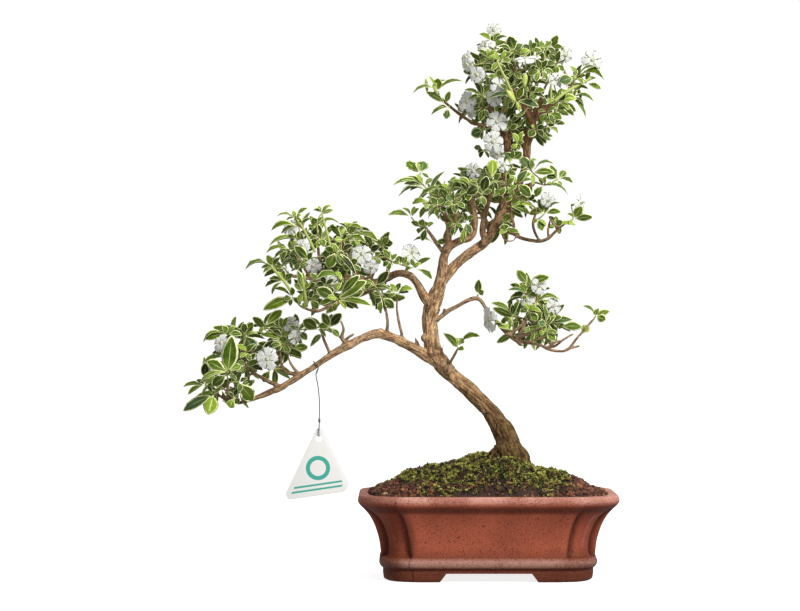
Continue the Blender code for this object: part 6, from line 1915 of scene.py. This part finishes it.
def make_label(finish):
    half = TAG_THICKNESS / 2 * MM
    rings = []
    for side in (-1, 1):
        for depth, inset in ((0.0, TAG_SOFT_EDGE), (0.3, TAG_SOFT_EDGE * 0.3), (1.0, 0.0))[::-side]:
            shift = side * (half - TAG_SOFT_EDGE * depth * MM)
            rings.append([Vector((p.x, TAG_DEPTH * MM + shift, p.y)) for p in label_outline(inset)[0]])
    plate = add_object("plain_label", outward(rings_mesh("plain_label", rings)), [finish])
    hole = place(*TAG_HOLE, TAG_DEPTH)
    ends = [hole + Vector((0, shift, 0)) for shift in (-0.005, 0.005)]
    cut_away(plate, [rings_mesh("hole", tube_rings(ends, [TAG_HOLE_RADIUS * MM] * 2, 48))])
    plate.data.shade_smooth()
    plate.data.set_sharp_from_angle(angle=math.radians(40))
    return settle(plate, "tag_plastic", "label_tag")


# ---------------------------------------------------------------- stage
SENSOR_WIDTH = 36.0
SKY_STRENGTH = 0.50
BACKDROP_STRENGTH = 1.06
LIGHTS = [  # name, place, aim, size, power in watts
    ("key_light", (1.35, -1.6, 1.4), (0.0, 0.0, 0.2), 0.6, 54.0),
    ("top_light", (0.35, 0.15, 1.8), (0.0, 0.0, 0.25), 0.6, 11.0)]


def make_stage():
    scene = bpy.context.scene
    scene.view_settings.view_transform = "Standard"
    camera = bpy.data.objects.new("camera", bpy.data.cameras.new("camera"))
    scene.collection.objects.link(camera)
    camera.location = (0, -EYE_DISTANCE, EYE_HEIGHT)
    camera.rotation_euler = (math.pi / 2, 0, 0)
    camera.data.sensor_width = SENSOR_WIDTH
    camera.data.lens = SENSOR_WIDTH * EYE_DISTANCE / (PAPER_WIDTH * SQUARE)
    camera.data.clip_start, camera.data.clip_end = 0.05, 50.0
    scene.camera = camera
    world = bpy.data.worlds.new("studio")
    world.use_nodes = True
    sky = Graph(world.node_tree)
    seen = sky.node("ShaderNodeLightPath", output="Is Camera Ray")
    glow = sky.node("ShaderNodeBackground", {}, {
        "Color": (1.0, 1.0, 1.0, 1.0),
        "Strength": seen * (BACKDROP_STRENGTH - SKY_STRENGTH) + SKY_STRENGTH})
    sky.node("ShaderNodeOutputWorld", {}, {"Surface": glow})
    scene.world = world
    for name, place_at, aim, size, power in LIGHTS:
        data = bpy.data.lights.new(name, "AREA")
        data.shape = "DISK"
        data.size = size
        data.energy = power
        light = bpy.data.objects.new(name, data)
        scene.collection.objects.link(light)
        light.location = place_at
        light.rotation_euler = (Vector(aim) - Vector(place_at)).to_track_quat("-Z", "Y").to_euler()
    vertices = [(x, y, 0.0) for y in (-7.0, 9.0) for x in (-9.0, 9.0)]
    floor = mesh_from("studio_floor", vertices, [(0, 1, 3, 2)])
    floor = add_object("studio_floor", floor, [studio_finish()], smooth=False)
    floor.visible_diffuse = floor.visible_glossy = False


# ---------------------------------------------------------------- sizes and colours for a user
def tone(label, described, colour):
    return FloatVectorProperty(name=label, description=described, subtype="COLOR", size=3, min=0.0,
                               max=1.0, default=linear(*colour))


def length(label, described, metres):
    return FloatProperty(name=label, description=described, default=metres, unit="LENGTH", precision=5)


class PlantSizes(bpy.types.PropertyGroup):
    leaf_scale: FloatProperty(name="Leaf scale", description="Size of the leaves against the drawing",
                              default=1.0, min=0.3, max=1.5)
    flower_scale: FloatProperty(name="Flower scale", description="Size of the flowers against the drawing",
                                default=1.22, min=0.3, max=1.5)
    bark_relief: FloatProperty(name="Bark relief", description="Depth of the ridges in the bark",
                               default=1.0, min=0.0, max=2.0)
    canopy_seed: IntProperty(name="Canopy seed", description="Number that the far leaves are drawn from",
                             default=7, min=0)


class GroundSizes(bpy.types.PropertyGroup):
    grit_smallest: length("Smallest crumb", "Radius of the finest soil crumbs", 0.0007)
    grit_largest: length("Largest crumb", "Radius of the coarsest soil crumbs", 0.0025)
    moss_height: length("Moss height", "Height of the tufts of moss", 0.0026)


class BonsaiColours(bpy.types.PropertyGroup):
    clay: tone("Clay", "Unglazed clay of the pot", (152, 77, 55))
    bark: tone("Bark", "Bark of the trunk and branches", (178, 146, 110))
    leaf: tone("Leaf", "Green of a grown leaf", (76, 106, 12))
    margin: tone("Leaf margin", "Cream edge of a leaf", (244, 246, 188))
    petal: tone("Petal", "Open flowers", (220, 222, 214))
    soil: tone("Soil", "Potting soil", (62, 40, 26))
    moss: tone("Moss", "Moss on the mound", (116, 118, 40))
    label: tone("Label", "Plastic of the hanging label", (242, 240, 235))
    ink: tone("Ink", "Ring and bars printed on the label", (4, 168, 148))


class BonsaiOperator:
    bl_options = {"REGISTER", "UNDO"}

    def execute(self, context):
        self.make(context.scene.bonsai_plant, context.scene.bonsai_ground, context.scene.bonsai_colours)
        return {"FINISHED"}


class BONSAI_OT_stage(BonsaiOperator, bpy.types.Operator):
    """Sets the camera, the lights and the pale floor"""
    bl_idname = "bonsai.stage"
    bl_label = "Stage"

    def make(self, plant, ground, colours):
        make_stage()


class BONSAI_OT_label(BonsaiOperator, bpy.types.Operator):
    """Hangs the plain label from the left branch by its thread"""
    bl_idname = "bonsai.label"
    bl_label = "Label and thread"

    def make(self, plant, ground, colours):
        finish = thread_finish()
        make_thread(finish, make_label(label_finish(colours.label, colours.ink)))


class BONSAI_OT_pot(BonsaiOperator, bpy.types.Operator):
    """Builds the clay pot and finishes the screens and wires in its drain holes"""
    bl_idname = "bonsai.pot"
    bl_label = "Pot"

    def make(self, plant, ground, colours):
        make_pot(clay_finish(colours.clay))
        screen = plastic_finish("screen_plastic_black", linear(38, 40, 42))
        wire = wire_finish()
        for side in ("left", "right"):
            for node, finish in (("drain_screen_", screen), ("screen_wire_", wire)):
                for place_for in frame["nodes"][node + side].material_slots:
                    place_for.material = finish


class BONSAI_OT_ground(BonsaiOperator, bpy.types.Operator):
    """Fills the pot with soil and lays the moss over it"""
    bl_idname = "bonsai.ground"
    bl_label = "Soil and moss"

    def make(self, plant, ground, colours):
        bed, tufts = moss_ground_finish(colours.moss), moss_finish(colours.moss)
        grit = grit_finish()
        crumbs = (ground.grit_smallest, ground.grit_largest)
        make_soil(soil_finish(colours.soil), grit, *crumbs, tufts, ground.moss_height)
        for row in MOSS:
            make_moss(*row, ground.moss_height, bed, tufts, grit, *crumbs)


class BONSAI_OT_wood(BonsaiOperator, bpy.types.Operator):
    """Grows the trunk and its branches, with bark"""
    bl_idname = "bonsai.wood"
    bl_label = "Trunk and branches"

    def make(self, plant, ground, colours):
        make_wood(plant.bark_relief, bark_finish(colours.bark))


class BONSAI_OT_leaves(BonsaiOperator, bpy.types.Operator):
    """Grows the shoots and their leaves, one piece to each spray"""
    bl_idname = "bonsai.leaves"
    bl_label = "Leaves"

    def make(self, plant, ground, colours):
        tree = shoots_tree()
        rng = random.Random(5)
        store = shape_store("leaf", [leaf_shape("leaf", rng.uniform(0.44, 0.62), rng.uniform(0.15, 0.6),
                                                rng.uniform(0.02, 0.12), rng.uniform(-0.6, 0.6))
                                     for _ in range(LEAF_SHAPES)])
        blade, twig = leaf_finish(colours.leaf, colours.margin), twig_finish()
        for spray, shoots in grow_canopy(plant.canopy_seed).items():
            mesh = grow(spray, shoots.mesh(spray), tree, {
                "Leaf shapes": store, "Leaf finish": blade, "Twig finish": twig,
                "Leaf size": plant.leaf_scale})
            for spare in ("ahead", "face", "size", "shape", "is_leaf", "bar"):
                if spare in mesh.attributes:
                    mesh.attributes.remove(mesh.attributes[spare])
            settle(add_object(spray.replace("spray", "leaves"), mesh, smooth=False), "leaf", spray)
        drop_store(store)


class BONSAI_OT_flowers(BonsaiOperator, bpy.types.Operator):
    """Opens the flowers and sets the buds"""
    bl_idname = "bonsai.flowers"
    bl_label = "Flowers and buds"

    def make(self, plant, ground, colours):
        make_flowers([petal_finish(colours.petal), stamen_finish(), twig_finish()], plant.flower_scale)
        make_buds([bud_finish(), twig_finish()])


class VIEW3D_PT_bonsai(bpy.types.Panel):
    """Lists the pieces of the bonsai in the order in which they're made"""
    bl_label = "Serissa bonsai"
    bl_space_type = "VIEW_3D"
    bl_region_type = "UI"
    bl_category = "Bonsai"

    def draw(self, context):
        for group in GROUPS:
            settings = getattr(context.scene, group)
            for name in settings.__annotations__:
                self.layout.prop(settings, name)
        for operator in OPERATORS:
            self.layout.operator(operator.bl_idname)


GROUPS = {"bonsai_plant": PlantSizes, "bonsai_ground": GroundSizes, "bonsai_colours": BonsaiColours}
OPERATORS = (BONSAI_OT_stage, BONSAI_OT_label, BONSAI_OT_pot, BONSAI_OT_ground, BONSAI_OT_wood,
             BONSAI_OT_leaves, BONSAI_OT_flowers)


def register():
    for made in (*GROUPS.values(), *OPERATORS, VIEW3D_PT_bonsai):
        bpy.utils.register_class(made)
    for name, group in GROUPS.items():
        setattr(bpy.types.Scene, name, PointerProperty(type=group))


def unregister():
    for name in GROUPS:
        delattr(bpy.types.Scene, name)
    for made in reversed((*GROUPS.values(), *OPERATORS, VIEW3D_PT_bonsai)):
        bpy.utils.unregister_class(made)


def main():
    register()
    for operator in OPERATORS:
        group, name = operator.bl_idname.split(".")
        getattr(getattr(bpy.ops, group), name)()


if __name__ == "__main__":
    main()
